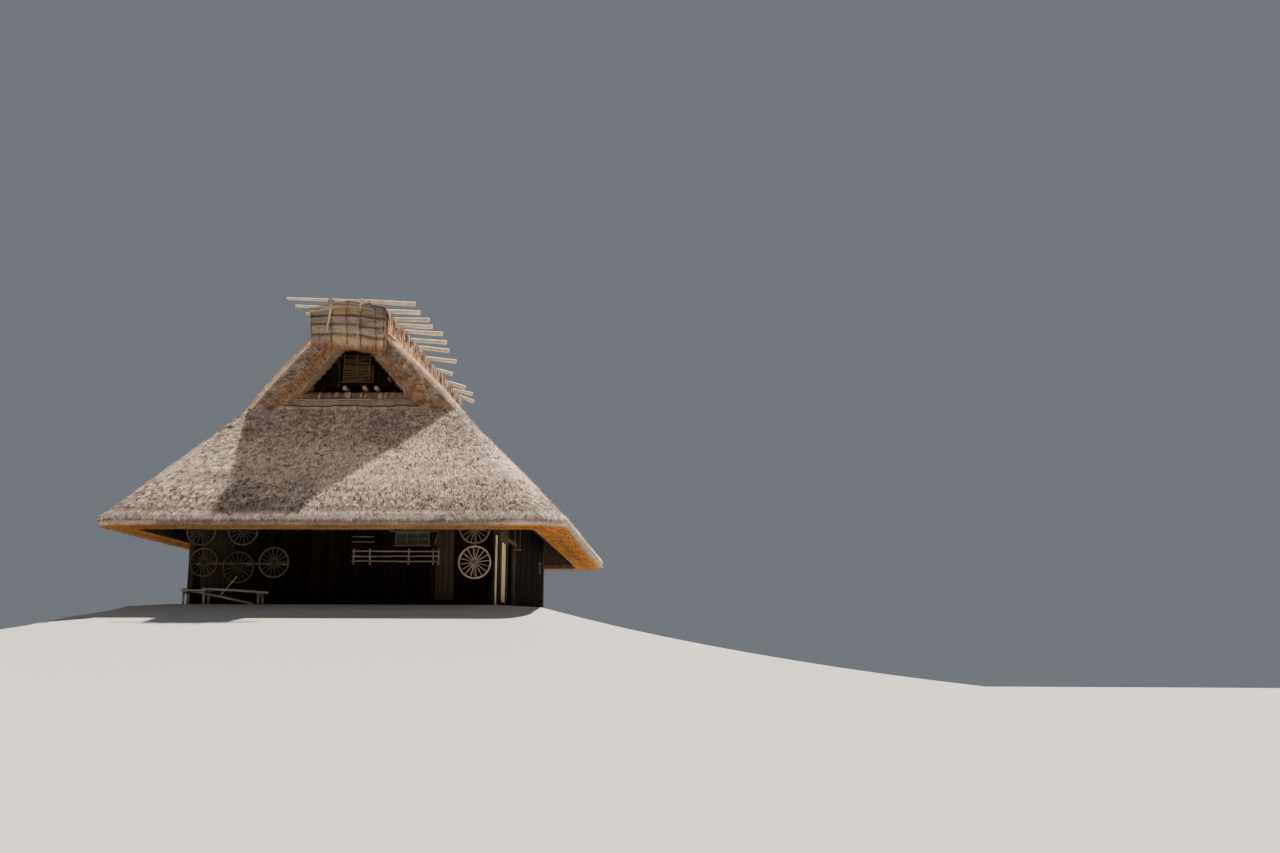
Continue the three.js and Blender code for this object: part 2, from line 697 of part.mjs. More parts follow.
// Two long shafts on a low bench, pushed up to the front left corner post. One lies on a
// trestle at its far end, and the other slopes down to the ground.
function shaftStand() {
  const back = -BODY_HALF_DEPTH - SEAM;
  const front = back - BENCH.width;
  const near = front + LEG.inset;
  const far = back - LEG.inset - LEG.size;
  const { left, right, top, board } = BENCH;
  const pieces = [box(left, right, front, back, top - board, top)];
  const legs = [
    [left + LEG.inset, top - board / 2],
    [right - LEG.inset - LEG.size, top - board / 2],
    [TRESTLE.x - LEG.size / 2, TRESTLE.top - TRESTLE.railHeight / 2],
  ];
  for (const [x, height] of legs) {
    for (const y of [near, far]) {
      pieces.push(box(x, x + LEG.size, y, y + LEG.size, 0, height));
    }
  }
  const railX = TRESTLE.x - TRESTLE.rail / 2;
  pieces.push(box(railX, railX + TRESTLE.rail, front, back, TRESTLE.top - TRESTLE.railHeight, TRESTLE.top));
  for (const { from, to } of SHAFTS) {
    pieces.push(pole([from[0], back + from[1], from[2]], [to[0], back + to[1], to[2]], SHAFT_SIZE));
  }
  return toGeometry(join(pieces));
}

add('shaft_stand', shaftStand(), oldWood);

export default house;
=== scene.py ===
import math

import bpy
import numpy as np
from mathutils import Matrix, Vector


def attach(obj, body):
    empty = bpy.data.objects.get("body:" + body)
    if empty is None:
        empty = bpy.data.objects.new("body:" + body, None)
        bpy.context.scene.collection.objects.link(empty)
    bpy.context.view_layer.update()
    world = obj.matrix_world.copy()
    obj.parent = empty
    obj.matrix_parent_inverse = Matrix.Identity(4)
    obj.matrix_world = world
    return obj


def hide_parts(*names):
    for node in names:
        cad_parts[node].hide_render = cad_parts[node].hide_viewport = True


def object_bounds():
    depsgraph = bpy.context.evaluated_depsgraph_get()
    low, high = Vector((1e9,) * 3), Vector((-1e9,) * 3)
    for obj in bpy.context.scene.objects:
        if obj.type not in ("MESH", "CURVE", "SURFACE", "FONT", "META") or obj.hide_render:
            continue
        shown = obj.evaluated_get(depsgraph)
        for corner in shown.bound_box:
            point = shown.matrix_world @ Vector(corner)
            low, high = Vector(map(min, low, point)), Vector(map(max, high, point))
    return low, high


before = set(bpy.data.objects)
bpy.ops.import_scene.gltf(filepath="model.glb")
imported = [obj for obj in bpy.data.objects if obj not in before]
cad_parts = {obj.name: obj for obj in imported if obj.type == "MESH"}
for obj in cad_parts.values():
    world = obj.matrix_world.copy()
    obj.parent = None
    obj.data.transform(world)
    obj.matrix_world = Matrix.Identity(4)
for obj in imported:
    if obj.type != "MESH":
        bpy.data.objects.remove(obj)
start_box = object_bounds()
rng = np.random.default_rng(31)

# Sizes of the house, in metres, as in the part's source
WALL_X = 5.3
WALL_Y = 7.25
BOARD_FACE = 7.23
PLATE_TOP = 3.9407
PLATE_BOTTOM = 3.6907
OUTER_SUM = 10.6
INNER_SUM = 9.44
GABLE_BASE = 6.90
VERGE_FOOT_Y = 6.80
VERGE_LEAN = 0.277
NOSE_Z = 2.84
ROOF_X = 7.81
ROOF_Y = 9.76
RIDGE_SIDE = 1.3
RIDGE_SHOULDER = 10.11
RIDGE_PEAK = 10.35
MAT_THICKNESS = 0.28
LIMIT_X = ROOF_X - 0.002
LIMIT_Y = ROOF_Y - 0.002
LIMIT_Z = start_box[1][2] - 0.002

# Colours
REED_GREY = (0.44, 0.37, 0.315)
STRAW_ORANGE = (0.43, 0.205, 0.045)
# the orange straw with painted shade, for the cut straw under the ends
STRAW_PAINTED_SHADE = (0.385, 0.265, 0.125)
LIP_GREY = (0.43, 0.375, 0.33)


# Noise
def lattice(ix, iy, iz, seed):
    """A random number from 0 to 1 at each whole point."""
    low_bits = np.uint64(0xFFFFFFFF)
    code = ix.astype(np.uint64) * np.uint64(374761393) + iy.astype(np.uint64) * np.uint64(668265263)
    code = code + iz.astype(np.uint64) * np.uint64(2246822519) + np.uint64(seed * 3266489917 + 97)
    code = code & low_bits
    code = ((code ^ (code >> np.uint64(13))) * np.uint64(1274126177)) & low_bits
    code = code ^ (code >> np.uint64(16))
    return code.astype(np.float64) / 4294967295.0


def smooth_noise(points, size, seed):
    """Smooth noise from -1 to 1 at each point; size is the width of a lump, one number or three."""
    place = np.asarray(points, float) / np.asarray(size, float) + 512.0
    whole = np.floor(place).astype(np.int64)
    part = place - whole
    part = part * part * (3.0 - 2.0 * part)
    total = np.zeros(len(place))
    for dx in (0, 1):
        for dy in (0, 1):
            for dz in (0, 1):
                weight = np.where(dx, part[:, 0], 1 - part[:, 0])
                weight = weight * np.where(dy, part[:, 1], 1 - part[:, 1])
                weight = weight * np.where(dz, part[:, 2], 1 - part[:, 2])
                total += weight * lattice(whole[:, 0] + dx, whole[:, 1] + dy, whole[:, 2] + dz, seed)
    return total * 2.0 - 1.0


def rough(points, size, seed):
    """Smooth noise of three sizes, each half as wide and half as strong as the one before."""
    total = np.zeros(len(points))
    for k in range(3):
        total += smooth_noise(points, np.asarray(size, float) / 2**k, seed + 11 * k) / 2**k
    return total / 1.75


def mix(a, b, share):
    share = np.asarray(share, float)[..., None]
    return np.asarray(a, float) * (1 - share) + np.asarray(b, float) * share


# Meshes
class Stack:
    """Collects parts of one mesh: points, faces, a tint and a grain coordinate for each point."""

    def __init__(self):
        self.points, self.tints, self.grains, self.quads, self.triangles = [], [], [], [], []
        self.count = 0

    def add(self, points, faces, tint, grain):
        points = np.asarray(points, float).reshape(-1, 3)
        faces = np.asarray(faces, np.int64)
        tint = np.broadcast_to(np.asarray(tint, float), (len(points), 3))
        (self.quads if faces.shape[1] == 4 else self.triangles).append(faces + self.count)
        self.points.append(points)
        self.tints.append(tint)
        self.grains.append(np.asarray(grain, float).reshape(-1, 3))
        self.count += len(points)

    def sheet(self, grid, tint, flip=False, turned=False, shift=0.0):
        """Adds a grid of points; its grain runs along the rows, or from row to row if turned."""
        grain = grid_grain(grid)
        if turned:
            grain = grain[..., [1, 0, 2]]
        tint = np.asarray(tint, float).reshape(-1, 3)
        self.add(grid, grid_faces(*grid.shape[:2], flip), tint, grain + shift)

    def turned(self, angle):
        """The same parts turned about the upright through the origin."""
        other = Stack()
        c, s = math.cos(angle), math.sin(angle)
        turn = np.array([[c, s, 0], [-s, c, 0], [0, 0, 1]])
        other.points = [p @ turn for p in self.points]
        other.tints, other.grains = list(self.tints), list(self.grains)
        other.quads, other.triangles = list(self.quads), list(self.triangles)
        other.count = self.count
        return other

    def build(self, name, look, slot, nodes=(), smooth=True):
        points = np.concatenate(self.points)
        points[:, 0] = np.clip(points[:, 0], -LIMIT_X, LIMIT_X)
        points[:, 1] = np.clip(points[:, 1], -LIMIT_Y, LIMIT_Y)
        points[:, 2] = np.clip(points[:, 2], 0.0, LIMIT_Z)
        mesh = bpy.data.meshes.new(name)
        loops, starts, at = [], [], 0
        for faces, sides in ((self.quads, 4), (self.triangles, 3)):
            if faces:
                block = np.concatenate(faces)
                loops.append(block.ravel())
                starts.append(at + np.arange(len(block)) * sides)
                at += block.size
        loops = np.concatenate(loops).astype(np.int32)
        starts = np.concatenate(starts).astype(np.int32)
        mesh.vertices.add(len(points))
        mesh.vertices.foreach_set("co", points.astype(np.float32).ravel())
        mesh.loops.add(len(loops))
        mesh.loops.foreach_set("vertex_index", loops)
        mesh.polygons.add(len(starts))
        mesh.polygons.foreach_set("loop_start", starts)
        mesh.update(calc_edges=True)
        mesh.validate()
        tint = mesh.attributes.new("tint", "FLOAT_COLOR", "POINT")
        full = np.ones((len(points), 4), np.float32)
        full[:, :3] = np.concatenate(self.tints)
        tint.data.foreach_set("color", full.ravel())
        grain = mesh.attributes.new("grain", "FLOAT_VECTOR", "POINT")
        grain.data.foreach_set("vector", np.concatenate(self.grains).astype(np.float32).ravel())
        if smooth:
            mesh.polygons.foreach_set("use_smooth", np.ones(len(mesh.polygons), bool))
        mesh.materials.append(look)
        piece = bpy.data.objects.new(name, mesh)
        bpy.context.scene.collection.objects.link(piece)
        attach(piece, "root")
        if nodes:
            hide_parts(*nodes)
        return piece


def grid_faces(rows, columns, flip=False):
    r, c = np.meshgrid(np.arange(rows - 1), np.arange(columns - 1), indexing="ij")
    a = (r * columns + c).ravel()
    faces = np.stack([a, a + 1, a + columns + 1, a + columns], axis=1)
    return faces[:, ::-1] if flip else faces


def grid_grain(grid):
    """Distances over the surface: x along the rows, y from row to row."""
    step = np.linalg.norm(np.diff(grid, axis=1), axis=2)
    x = np.concatenate([np.zeros((len(grid), 1)), np.cumsum(step, axis=1)], axis=1)
    x = x - x[:, x.shape[1] // 2][:, None]
    step = np.linalg.norm(np.diff(grid, axis=0), axis=2)
    y = np.concatenate([np.zeros((1, grid.shape[1])), np.cumsum(step, axis=0)], axis=0)
    return np.stack([x, y, np.zeros_like(x)], axis=2)


def sheet_grid(x, y, z):
    """A grid of points from three parts, each a column, a row or a whole grid."""
    return np.stack(np.broadcast_arrays(x, y, z), axis=2)


def unit(vectors):
    return vectors / np.maximum(np.linalg.norm(vectors, axis=-1, keepdims=True), 1e-9)


def grid_normals(grid):
    return unit(np.cross(np.gradient(grid, axis=1), np.gradient(grid, axis=0)))


# The faces that close a bar's two ends, as points of its eight-cornered cut
START_CAP = np.array(((0, 7, 2, 1), (7, 6, 3, 2), (6, 5, 4, 3)))
END_CAP = np.array(((0, 1, 2, 7), (7, 2, 3, 6), (6, 3, 4, 5)))
FACING, UP = (0, -1, 0), (0, 0, 1)


def worn_section(width, depth, bevel):
    """The eight corners of a sawn timber's cut."""
    worn = bevel * min(width, depth)
    wide, deep = width / 2, depth / 2
    half = [(-wide + worn, -deep), (wide - worn, -deep), (wide, -deep + worn), (wide, deep - worn)]
    return np.array(half + [(-x, -y) for x, y in half])


def tube_faces(rings, sides):
    faces = []
    for r in range(rings - 1):
        for k in range(sides):
            n = (k + 1) % sides
            faces.append([r * sides + k, r * sides + n, (r + 1) * sides + n, (r + 1) * sides + k])
    return faces


def bar(stack, start, end, up, width, depth, tint, rings=5, wobble=0.004, bevel=0.16, taper=1.0):
    """A sawn timber between two points: width across, depth along `up`, with worn corners."""
    start, end, up = (np.asarray(v, float) for v in (start, end, up))
    along = end - start
    length = np.linalg.norm(along)
    along = along / length
    across = np.cross(along, up)
    across /= np.linalg.norm(across)
    up = np.cross(across, along)
    section = worn_section(width, depth, bevel)
    share = np.linspace(0, 1, rings)
    size = 1 + (taper - 1) * share
    bend = rng.normal(0, wobble, (rings, 2))
    bend[0] = bend[-1] = 0
    jitter = rng.normal(0, wobble * 0.35, (rings, 8, 2))
    flat = section[None] * size[:, None, None] + bend[:, None] + jitter
    run = (share * length)[:, None]
    middle = start + along * run
    points = middle[:, None] + flat[..., :1] * across + flat[..., 1:] * up
    faces = tube_faces(rings, 8) + START_CAP.tolist() + (END_CAP + (rings - 1) * 8).tolist()
    shift = rng.uniform(0, 40, 3)
    grain = sheet_grid(run, section[:, 0], section[:, 1])
    tint = np.asarray(tint, float) * rng.uniform(0.86, 1.14)
    stack.add(points, faces, tint, grain.reshape(-1, 3) + shift)


def upright_bar(stack, x, y, low, high, width, depth, tint, **more):
    bar(stack, (x, y, low), (x, y, high), FACING, width, depth, tint, **more)


def level_bar(stack, left, right, y, z, width, depth, tint, up=UP, **more):
    bar(stack, (left, y, z), (right, y, z), up, width, depth, tint, **more)


def pole(stack, path, radius, tint, sides=10, lump=0.06, end_tint=None):
    """A round stick along a path of points, a little lumpy, with closed ends."""
    path = np.asarray(path, float)
    rings = len(path)
    radius = np.broadcast_to(np.asarray(radius, float), (rings,))
    along = unit(np.gradient(path, axis=0))
    guide = np.linalg.svd(along)[2][2]
    across = unit(np.cross(along, guide))
    up = np.cross(across, along)
    turn = np.linspace(0, 2 * math.pi, sides, endpoint=False) + rng.uniform(0, 1)
    size = radius[:, None] * (1 + lump * rng.normal(0, 1, (rings, sides)) * 0.5)
    beside = across[:, None] * (size * np.cos(turn))[..., None]
    points = path[:, None] + beside + up[:, None] * (size * np.sin(turn))[..., None]
    points = points.reshape(-1, 3)
    distance = np.concatenate([[0], np.cumsum(np.linalg.norm(np.diff(path, axis=0), axis=1))])
    shift = rng.uniform(0, 40, 3)
    round_it = [np.tile(wave * radius[0], rings) for wave in (np.cos(turn), np.sin(turn))]
    grain = np.stack([np.repeat(distance, sides), *round_it], axis=1)
    tint = np.asarray(tint, float) * rng.uniform(0.88, 1.12)
    stack.add(points, tube_faces(rings, sides), tint, grain + shift)
    for ring, order in ((0, -1), (rings - 1, 1)):
        rim = points[ring * sides:(ring + 1) * sides]
        tip = rim.mean(0) + along[ring] * order * radius[ring] * 0.25
        cap = np.concatenate([rim, [tip]])
        fan = [[k, (k + 1) % sides, sides][::order] for k in range(sides)]
        stack.add(cap, fan, tint if end_tint is None else end_tint, cap * 1.3 + shift)


def clump_tone(base, clump):
    """Light and dark clumps of straw: level ones high on the roof, upright ones near the eave."""
    level = 1.1 * smooth_noise(base, (0.13, 0.13, 0.035), 201)
    level = level + 0.8 * smooth_noise(base, (0.05, 0.05, 0.035), 202)
    upright = 1.6 * smooth_noise(base, (0.06, 0.06, 0.11), 203) + 0.4 * smooth_noise(base, 0.2, 204)
    patch = mix(level[:, None], upright[:, None], np.clip((4.6 - base[:, 2]) / 0.8, 0, 1))[:, 0]
    return (1 + clump * patch).clip(0.12, 2.4)[:, None]


def shag(stack, grid, tint, count, length, width, lift, sag=0.0, spread=0.35, turned_up=0.0,
         tone=0.22, downward=False, flip=False, clump=0.0):
    """Straws that lie over a surface, pointing from row to row, each a thin pointed blade."""
    a, b, c, d = grid[:-1, :-1], grid[:-1, 1:], grid[1:, 1:], grid[1:, :-1]
    area = np.linalg.norm(np.cross(c - a, d - b), axis=2).ravel()
    cell = rng.choice(area.size, size=count, p=area / area.sum())
    r, k = np.divmod(cell, grid.shape[1] - 1)
    u, v = rng.random(count)[:, None], rng.random(count)[:, None]
    a, b, c, d = a[r, k], b[r, k], c[r, k], d[r, k]
    base = (a * (1 - u) + b * u) * (1 - v) + (d * (1 - u) + c * u) * v
    along = unit((d - a) * (1 - u) + (c - b) * u)
    across = (b - a) * (1 - v) + (c - d) * v
    normal = unit(np.cross(across, along) * (-1 if flip else 1))
    along = -along if downward else along
    side = np.cross(normal, along)
    along = along + side * rng.normal(0, spread, count)[:, None] + normal * turned_up
    along[:, 2] -= sag
    along = unit(along)
    side = unit(np.cross(normal, along))
    long = rng.uniform(*length, count)[:, None]
    wide = rng.uniform(*width, count)[:, None]
    raised = np.abs(rng.normal(0, lift, count))[:, None]
    left = base - side * wide / 2 - normal * 0.004
    right = base + side * wide / 2 - normal * 0.004
    tip = base + along * long + normal * (0.003 + raised)
    points = np.stack([left, right, tip], axis=1).reshape(-1, 3)
    faces = np.arange(count * 3).reshape(-1, 3)
    colour = tint.reshape(-1, 3)[r * grid.shape[1] + k]
    colour = colour * rng.normal(1.0, tone, count).clip(0.35, 1.8)[:, None]
    if clump:
        colour = colour * clump_tone(base, clump)
    warm = 1 + rng.normal(0, 0.05, (count, 1)) * np.array([[1.0, 0.1, -1.0]])
    colour = np.repeat(colour * warm, 3, axis=0)
    grain = np.repeat(rng.uniform(0, 30, (count, 3)), 3, axis=0)
    grain[2::3, 1] += long[:, 0]
    grain[1::3, 0] += wide[:, 0]
    stack.add(points, faces, colour.clip(0, 1), grain)


# Materials
def add_node(tree, kind, **values):
    """A new shader node; the values go to its inputs, with _ for each blank in their names."""
    node = tree.nodes.new("ShaderNode" + kind)
    for name, value in values.items():
        node.inputs[name.replace("_", " ")].default_value = value
    return node


def attribute(tree, name):
    node = add_node(tree, "Attribute")
    node.attribute_name = name
    return node


def look_colour(tree, place, lines, dark, light, patch, patch_share, tint_share):
    """Streaks from dark to light, times the mesh's tint, times larger patches."""
    join = tree.links.new
    ramp = add_node(tree, "ValToRGB")
    for end, position, colour in zip(ramp.color_ramp.elements, (0.28, 0.72), (dark, light)):
        end.position = position
        end.color = (*colour, 1)
    join(lines.outputs["Fac"], ramp.inputs["Fac"])
    clouds = add_node(tree, "TexNoise", Scale=patch, Detail=4.0, Roughness=0.6)
    join(place.outputs["Object"], clouds.inputs["Vector"])
    low, high = 1.0 - patch_share, 1.0 + patch_share
    level = add_node(tree, "MapRange", From_Min=0.25, From_Max=0.75, To_Min=low, To_Max=high)
    join(clouds.outputs["Fac"], level.inputs["Value"])
    by_tint = add_node(tree, "Mix")
    by_tint.data_type = "RGBA"
    by_tint.blend_type = "MULTIPLY"
    by_tint.inputs["Factor"].default_value = tint_share
    join(ramp.outputs["Color"], by_tint.inputs[6])
    join(attribute(tree, "tint").outputs["Color"], by_tint.inputs[7])
    by_patch = add_node(tree, "VectorMath")
    by_patch.operation = "SCALE"
    join(by_tint.outputs[2], by_patch.inputs[0])
    join(level.outputs["Result"], by_patch.inputs["Scale"])
    return by_patch.outputs["Vector"]


def look_relief(tree, stretch, lines, bump, relief, fine):
    """Bumps from the streaks and from finer noise."""
    join = tree.links.new
    finer = add_node(tree, "TexNoise", Scale=fine, Detail=3.0)
    join(stretch.outputs["Vector"], finer.inputs["Vector"])
    height = add_node(tree, "Math")
    height.operation = "ADD"
    join(lines.outputs["Fac"], height.inputs[0])
    join(finer.outputs["Fac"], height.inputs[1])
    raise_it = add_node(tree, "Bump", Strength=bump, Distance=relief)
    join(height.outputs["Value"], raise_it.inputs["Height"])
    return raise_it.outputs["Normal"]


def make_look(name, dark, light, streak, patch, patch_share, rough_value=0.9, shine=0.25, bump=0.35,
              relief=0.006, fine=2.2, tinted=True):
    """A procedural material: fine streaks along the mesh's grain, larger patches, and the mesh's own
    tint. One that isn't tinted takes its streaks from its place in space."""
    look = bpy.data.materials.new(name)
    look.use_nodes = True
    tree = look.node_tree
    join = tree.links.new
    shader = tree.nodes["Principled BSDF"]
    place = add_node(tree, "TexCoord")
    source = attribute(tree, "grain").outputs["Vector"] if tinted else place.outputs["Object"]
    stretch = add_node(tree, "Mapping", Scale=streak)
    join(source, stretch.inputs["Vector"])
    lines = add_node(tree, "TexNoise", Scale=1.0, Detail=5.0, Roughness=0.62)
    join(stretch.outputs["Vector"], lines.inputs["Vector"])
    tint_share = 1.0 if tinted else 0.0
    colour = look_colour(tree, place, lines, dark, light, patch, patch_share, tint_share)
    join(colour, shader.inputs["Base Color"])
    shader.inputs["Roughness"].default_value = rough_value
    shader.inputs["Specular IOR Level"].default_value = shine
    join(look_relief(tree, stretch, lines, bump, relief, fine), shader.inputs["Normal"])
    return look


# The tints carry the hue, so most of these ramps are near grey
straw_look = make_look("straw", (0.62, 0.60, 0.58), (1.25, 1.22, 1.18), (26.0, 3.0, 26.0), patch=0.9,
                       patch_share=0.22, bump=0.5, relief=0.012)
wood_look = make_look("weathered_wood", (0.55, 0.52, 0.50), (1.25, 1.22, 1.2), (2.2, 30.0, 30.0),
                      patch=2.2, patch_share=0.2, shine=0.04, relief=0.004)
bark_look = make_look("bark", (0.55, 0.50, 0.48), (1.3, 1.22, 1.2), (7.0, 22.0, 12.0), patch=3.0,
                      patch_share=0.3, rough_value=0.85, bump=0.6, relief=0.01)
frame_wood_look = make_look("smoked_wood", (0.045, 0.03, 0.022), (0.12, 0.08, 0.055), (1.0, 1.0, 1.0),
                            patch=2.0, patch_share=0.35, rough_value=0.7, bump=0.3, fine=9.0,
                            tinted=False)


def build_pair(stack, name, look, slot, node=None, sides=("front", "back")):
    """One piece and its half-turned twin; * in the names of piece and node stands for the side."""
    for side, part in zip(sides, (stack, stack.turned(math.pi))):
        nodes = [node.replace("*", side)] if node else ()
        part.build(name.replace("*", side), look, slot, nodes)


# Thatch
END_RUN = (ROOF_Y - VERGE_FOOT_Y) / (GABLE_BASE - NOSE_Z)
ROUNDING = 0.12
# The eave: how far its inner face and then its cut underside reach out, and the levels of its parts
INNER_OUT, CUT_OUT, INNER_DROP, CUT_LEVEL = 1.32, 0.92, 1.5, 2.44
LIP_LOW, LIP_TOP = 2.64, 3.12
# The inner face over the ends: how far it leans in over its height
INNER_RUN, INNER_RISE = 1.65, 3.169
# Where the slopes go in under the straw of the ridge
SLOPE_TOP = 9.42


def rounded_reach(nose, run, z):
    """How far out the slope lies at a height: upright at the nose, then bending over into the slope."""
    corner = NOSE_Z - 0.05
    if z < corner + ROUNDING:
        return nose - run * (z - corner + ROUNDING) ** 2 / (4 * ROUNDING)
    return nose - run * (z - corner)


def bulge(z):
    """How far a side slope swells out beside the gable."""
    rise = np.clip((np.asarray(z, float) - 6.3) / 1.3, 0, 1)
    return 0.14 * rise * rise * (3 - 2 * rise) * (1 - 0.35 * np.clip((z - 8.4) / 0.7, 0, 1))


def skirt_rows():
    """Rows of the roof below the gables, from the inside up over the eave to the gable's foot: half
    width, half depth, corner radius, height and kind of straw."""
    rows = []
    for z in np.linspace(GABLE_BASE, PLATE_TOP, 10)[:-1]:
        y = WALL_Y - (z - PLATE_TOP) * INNER_RUN / INNER_RISE
        rows.append((INNER_SUM - z, y, 0.05, z, "inside"))
    for s in np.linspace(0, 1, 7):
        x, y = 5.5 + 1.12 * s, WALL_Y + INNER_OUT * s
        rows.append((x, y, 0.05 + 0.22 * s, PLATE_TOP - INNER_DROP * s, "inside"))
    for s in np.linspace(0, 1, 13)[1:]:
        x, y = WALL_X + INNER_OUT + CUT_OUT * s, WALL_Y + INNER_OUT + CUT_OUT * s
        rows.append((x, y, 0.27 + 0.66 * s, CUT_LEVEL + 0.012 * math.sin(math.pi * s), "under"))
    for inset, z in ((0.20, 2.452), (0.13, 2.468), (0.08, 2.49), (0.04, 2.52), (0.012, 2.56), (0.0, 2.60)):
        rows.append((ROOF_X - inset, ROOF_Y - inset, 0.95, z, "cut"))
    for z in np.linspace(LIP_LOW, LIP_TOP, 9):
        rows.append((rounded_reach(ROOF_X, 1.0, z), rounded_reach(ROOF_Y, END_RUN, z), 1.0, z, "lip"))
    for z in np.linspace(LIP_TOP, GABLE_BASE, 66)[1:]:
        bend = (1 - (z - 2.8) / (GABLE_BASE - 2.8)) ** 0.85 + 0.10
        x, y = rounded_reach(ROOF_X, 1.0, z) + bulge(z), rounded_reach(ROOF_Y, END_RUN, z)
        rows.append((x, y, bend, z, "top"))
    return rows


def corner_arc(x, y, radius, angles):
    return np.stack([x + radius * np.cos(angles), y + radius * np.sin(angles)], axis=1)


def skirt_grid(rows, side, straight, bend):
    """Points of the skirt: an end piece faces -Y, a side piece faces +X; each ends at the hips."""
    share = np.linspace(0, 1, bend + 1)[:-1]
    opening, closing = share * math.pi / 4, (1 - share[::-1]) * math.pi / 4
    grid = []
    for half_x, half_y, radius, z, _ in rows:
        x, y = half_x - radius, half_y - radius
        if side:
            start = corner_arc(x, -y, radius, opening - math.pi / 4)
            middle = np.stack([np.full(straight, half_x), np.linspace(-y, y, straight)], axis=1)
            stop = corner_arc(x, y, radius, closing)
        else:
            start = corner_arc(-x, -y, radius, opening - 3 * math.pi / 4)
            middle = np.stack([np.linspace(-x, x, straight), np.full(straight, -half_y)], axis=1)
            stop = corner_arc(x, -y, radius, closing - math.pi / 2)
        ring = np.concatenate([start, middle, stop])
        grid.append(np.concatenate([ring, np.full((len(ring), 1), z)], axis=1))
    return np.array(grid)


# Heights up the lip, and the painted light and shade in its colour there
LIP_PAINTED_SHADING = ((2.64, 2.71, 2.79, 2.90, 2.98, 3.12), (0.6, 1.25, 1.45, 1.05, 0.64, 0.86))
INSIDE_BROWN = (0.055, 0.034, 0.021)
# dark grey over the cut straw at the ends: painted shade
CUT_EDGE_PAINTED_SHADE = (0.145, 0.13, 0.12)
KIND_RELIEF = {"inside": 0.5, "under": 0.8, "cut": 0.7, "lip": 0.9, "top": 1.0}


def cut_tint(place, kind):
    """Colour of the cut straw: darker along the ends as painted shade, orange at the corners and along the
    sides.
    """
    ahead = (np.abs(place[:, 1]) - WALL_Y) - (np.abs(place[:, 0]) - WALL_X)
    turn = np.maximum(np.clip((0.1 - ahead) / 0.3, 0, 1), np.clip(np.abs(place[:, 0]) - 5.0, 0, 1))
    straw = mix(STRAW_PAINTED_SHADE, STRAW_ORANGE, turn)
    if kind == "under":
        return straw
    over = mix(CUT_EDGE_PAINTED_SHADE, np.array(LIP_GREY) * 0.9, turn)
    low = np.clip((2.56 - 0.05 * turn - place[:, 2]) / (0.08 - 0.04 * turn), 0, 1)
    # the ends' cut straw is darkened to 0.8: painted shade
    return mix(over, straw * (0.8 + 0.2 * turn)[:, None], low)


def roof_tint(points, kinds):
    """Colour of the straw at each point of the skirt, by its place, with painted light and shade by height.
    """
    flat = points.reshape(-1, 3)
    blotch = rough(flat, 1.6, 3)
    wash = rough(flat, (5.0, 5.0, 0.35), 8)
    fleck = smooth_noise(flat, (0.10, 0.10, 0.05), 15)
    # a lighter band at mid height: painted light of the sunlit slope
    middle = 0.68 * np.exp(-((flat[:, 2] - 4.7) / 0.8) ** 2)
    # a darker band just above the lip: painted shade
    middle = middle - 0.14 * np.exp(-((flat[:, 2] - 3.2) / 0.25) ** 2)
    shade = (1 + 0.15 * blotch + 0.12 * wash + 0.38 * fleck + middle).reshape(points.shape[:2])
    base = np.zeros(points.shape)
    for k, kind in enumerate(kinds):
        if kind in ("under", "cut"):
            base[k] = cut_tint(points[k], kind)
        elif kind == "lip":
            # the lip's colour carries painted light and shade by height
            base[k] = np.array(LIP_GREY) * np.interp(points[k][:, 2], *LIP_PAINTED_SHADING)[:, None]
        else:
            base[k] = INSIDE_BROWN if kind == "inside" else REED_GREY
    warm = (0.5 + 0.5 * smooth_noise(flat, 2.7, 21)).reshape(points.shape[:2])
    pink = base * np.array([1.05, 0.985, 0.97])
    return mix(base, pink, warm) * shade[..., None]


def roof_lift(points, normals, kinds):
    """The same points, moved along their normals into waves and clumps."""
    flat = points.reshape(-1, 3)
    wave = rough(flat, (1.5, 1.5, 1.1), 40) * 0.014
    course = np.sin((flat[:, 2] + 0.05 * smooth_noise(flat, 1.3, 44)) * 2 * math.pi / 0.31) * 0.002
    clump = smooth_noise(flat, (0.12, 0.12, 0.07), 47) * 0.004
    lift = (wave + course + clump).reshape(points.shape[:2]) - 0.018
    amount = np.array([KIND_RELIEF[kind] for kind in kinds])
    return points + normals * (lift * amount[:, None])[..., None]


def strata(tint, grid, kinds):
    """Level layers in the cut straw under the eave, which run along the eave."""
    for k, kind in enumerate(kinds):
        if kind in ("under", "cut"):
            x, y = grid[k][:, 0] * 0.08, grid[k][:, 1] * 0.08
            band = smooth_noise(np.stack([x, y, np.full(len(x), k * 0.55)], axis=1), 1.0, 60)
            tint[k] *= (1 + 0.28 * band)[:, None]
    return tint


def split_shag(stack, grid, tint, kinds, plan):
    """Straws over each zone of a grid; plan gives kind: (straws a square metre, settings)."""
    kinds = np.array(kinds)
    for kind, (density, settings) in plan.items():
        rows = np.flatnonzero(kinds == kind)
        zone = grid[rows[0]:rows[-1] + 2]
        colours = tint[rows[0]:rows[-1] + 2]
        a, b = zone[1:, 1:] - zone[:-1, :-1], zone[:-1, 1:] - zone[1:, :-1]
        area = np.linalg.norm(np.cross(a, b), axis=2).sum() / 2
        shag(stack, zone, colours, int(area * density), **settings)


# Straws a square metre on each kind of row, and their settings
SKIRT_PLAN = {
    "top": (540, dict(downward=True, length=(0.07, 0.20), width=(0.016, 0.034), lift=0.026,
                      spread=0.3, tone=0.55, clump=1.1)),
    "lip": (640, dict(downward=True, length=(0.06, 0.17), width=(0.015, 0.030), lift=0.016,
                      spread=0.3, tone=0.5, clump=1.2)),
    "under": (900, dict(length=(0.02, 0.06), width=(0.008, 0.015), lift=0.02, spread=0.9,
                        turned_up=0.9, tone=0.25)),
    "cut": (900, dict(length=(0.02, 0.05), width=(0.008, 0.015), lift=0.012, spread=0.8,
                      turned_up=0.7, tone=0.25)),
}
END_TOP_DENSITY = 780


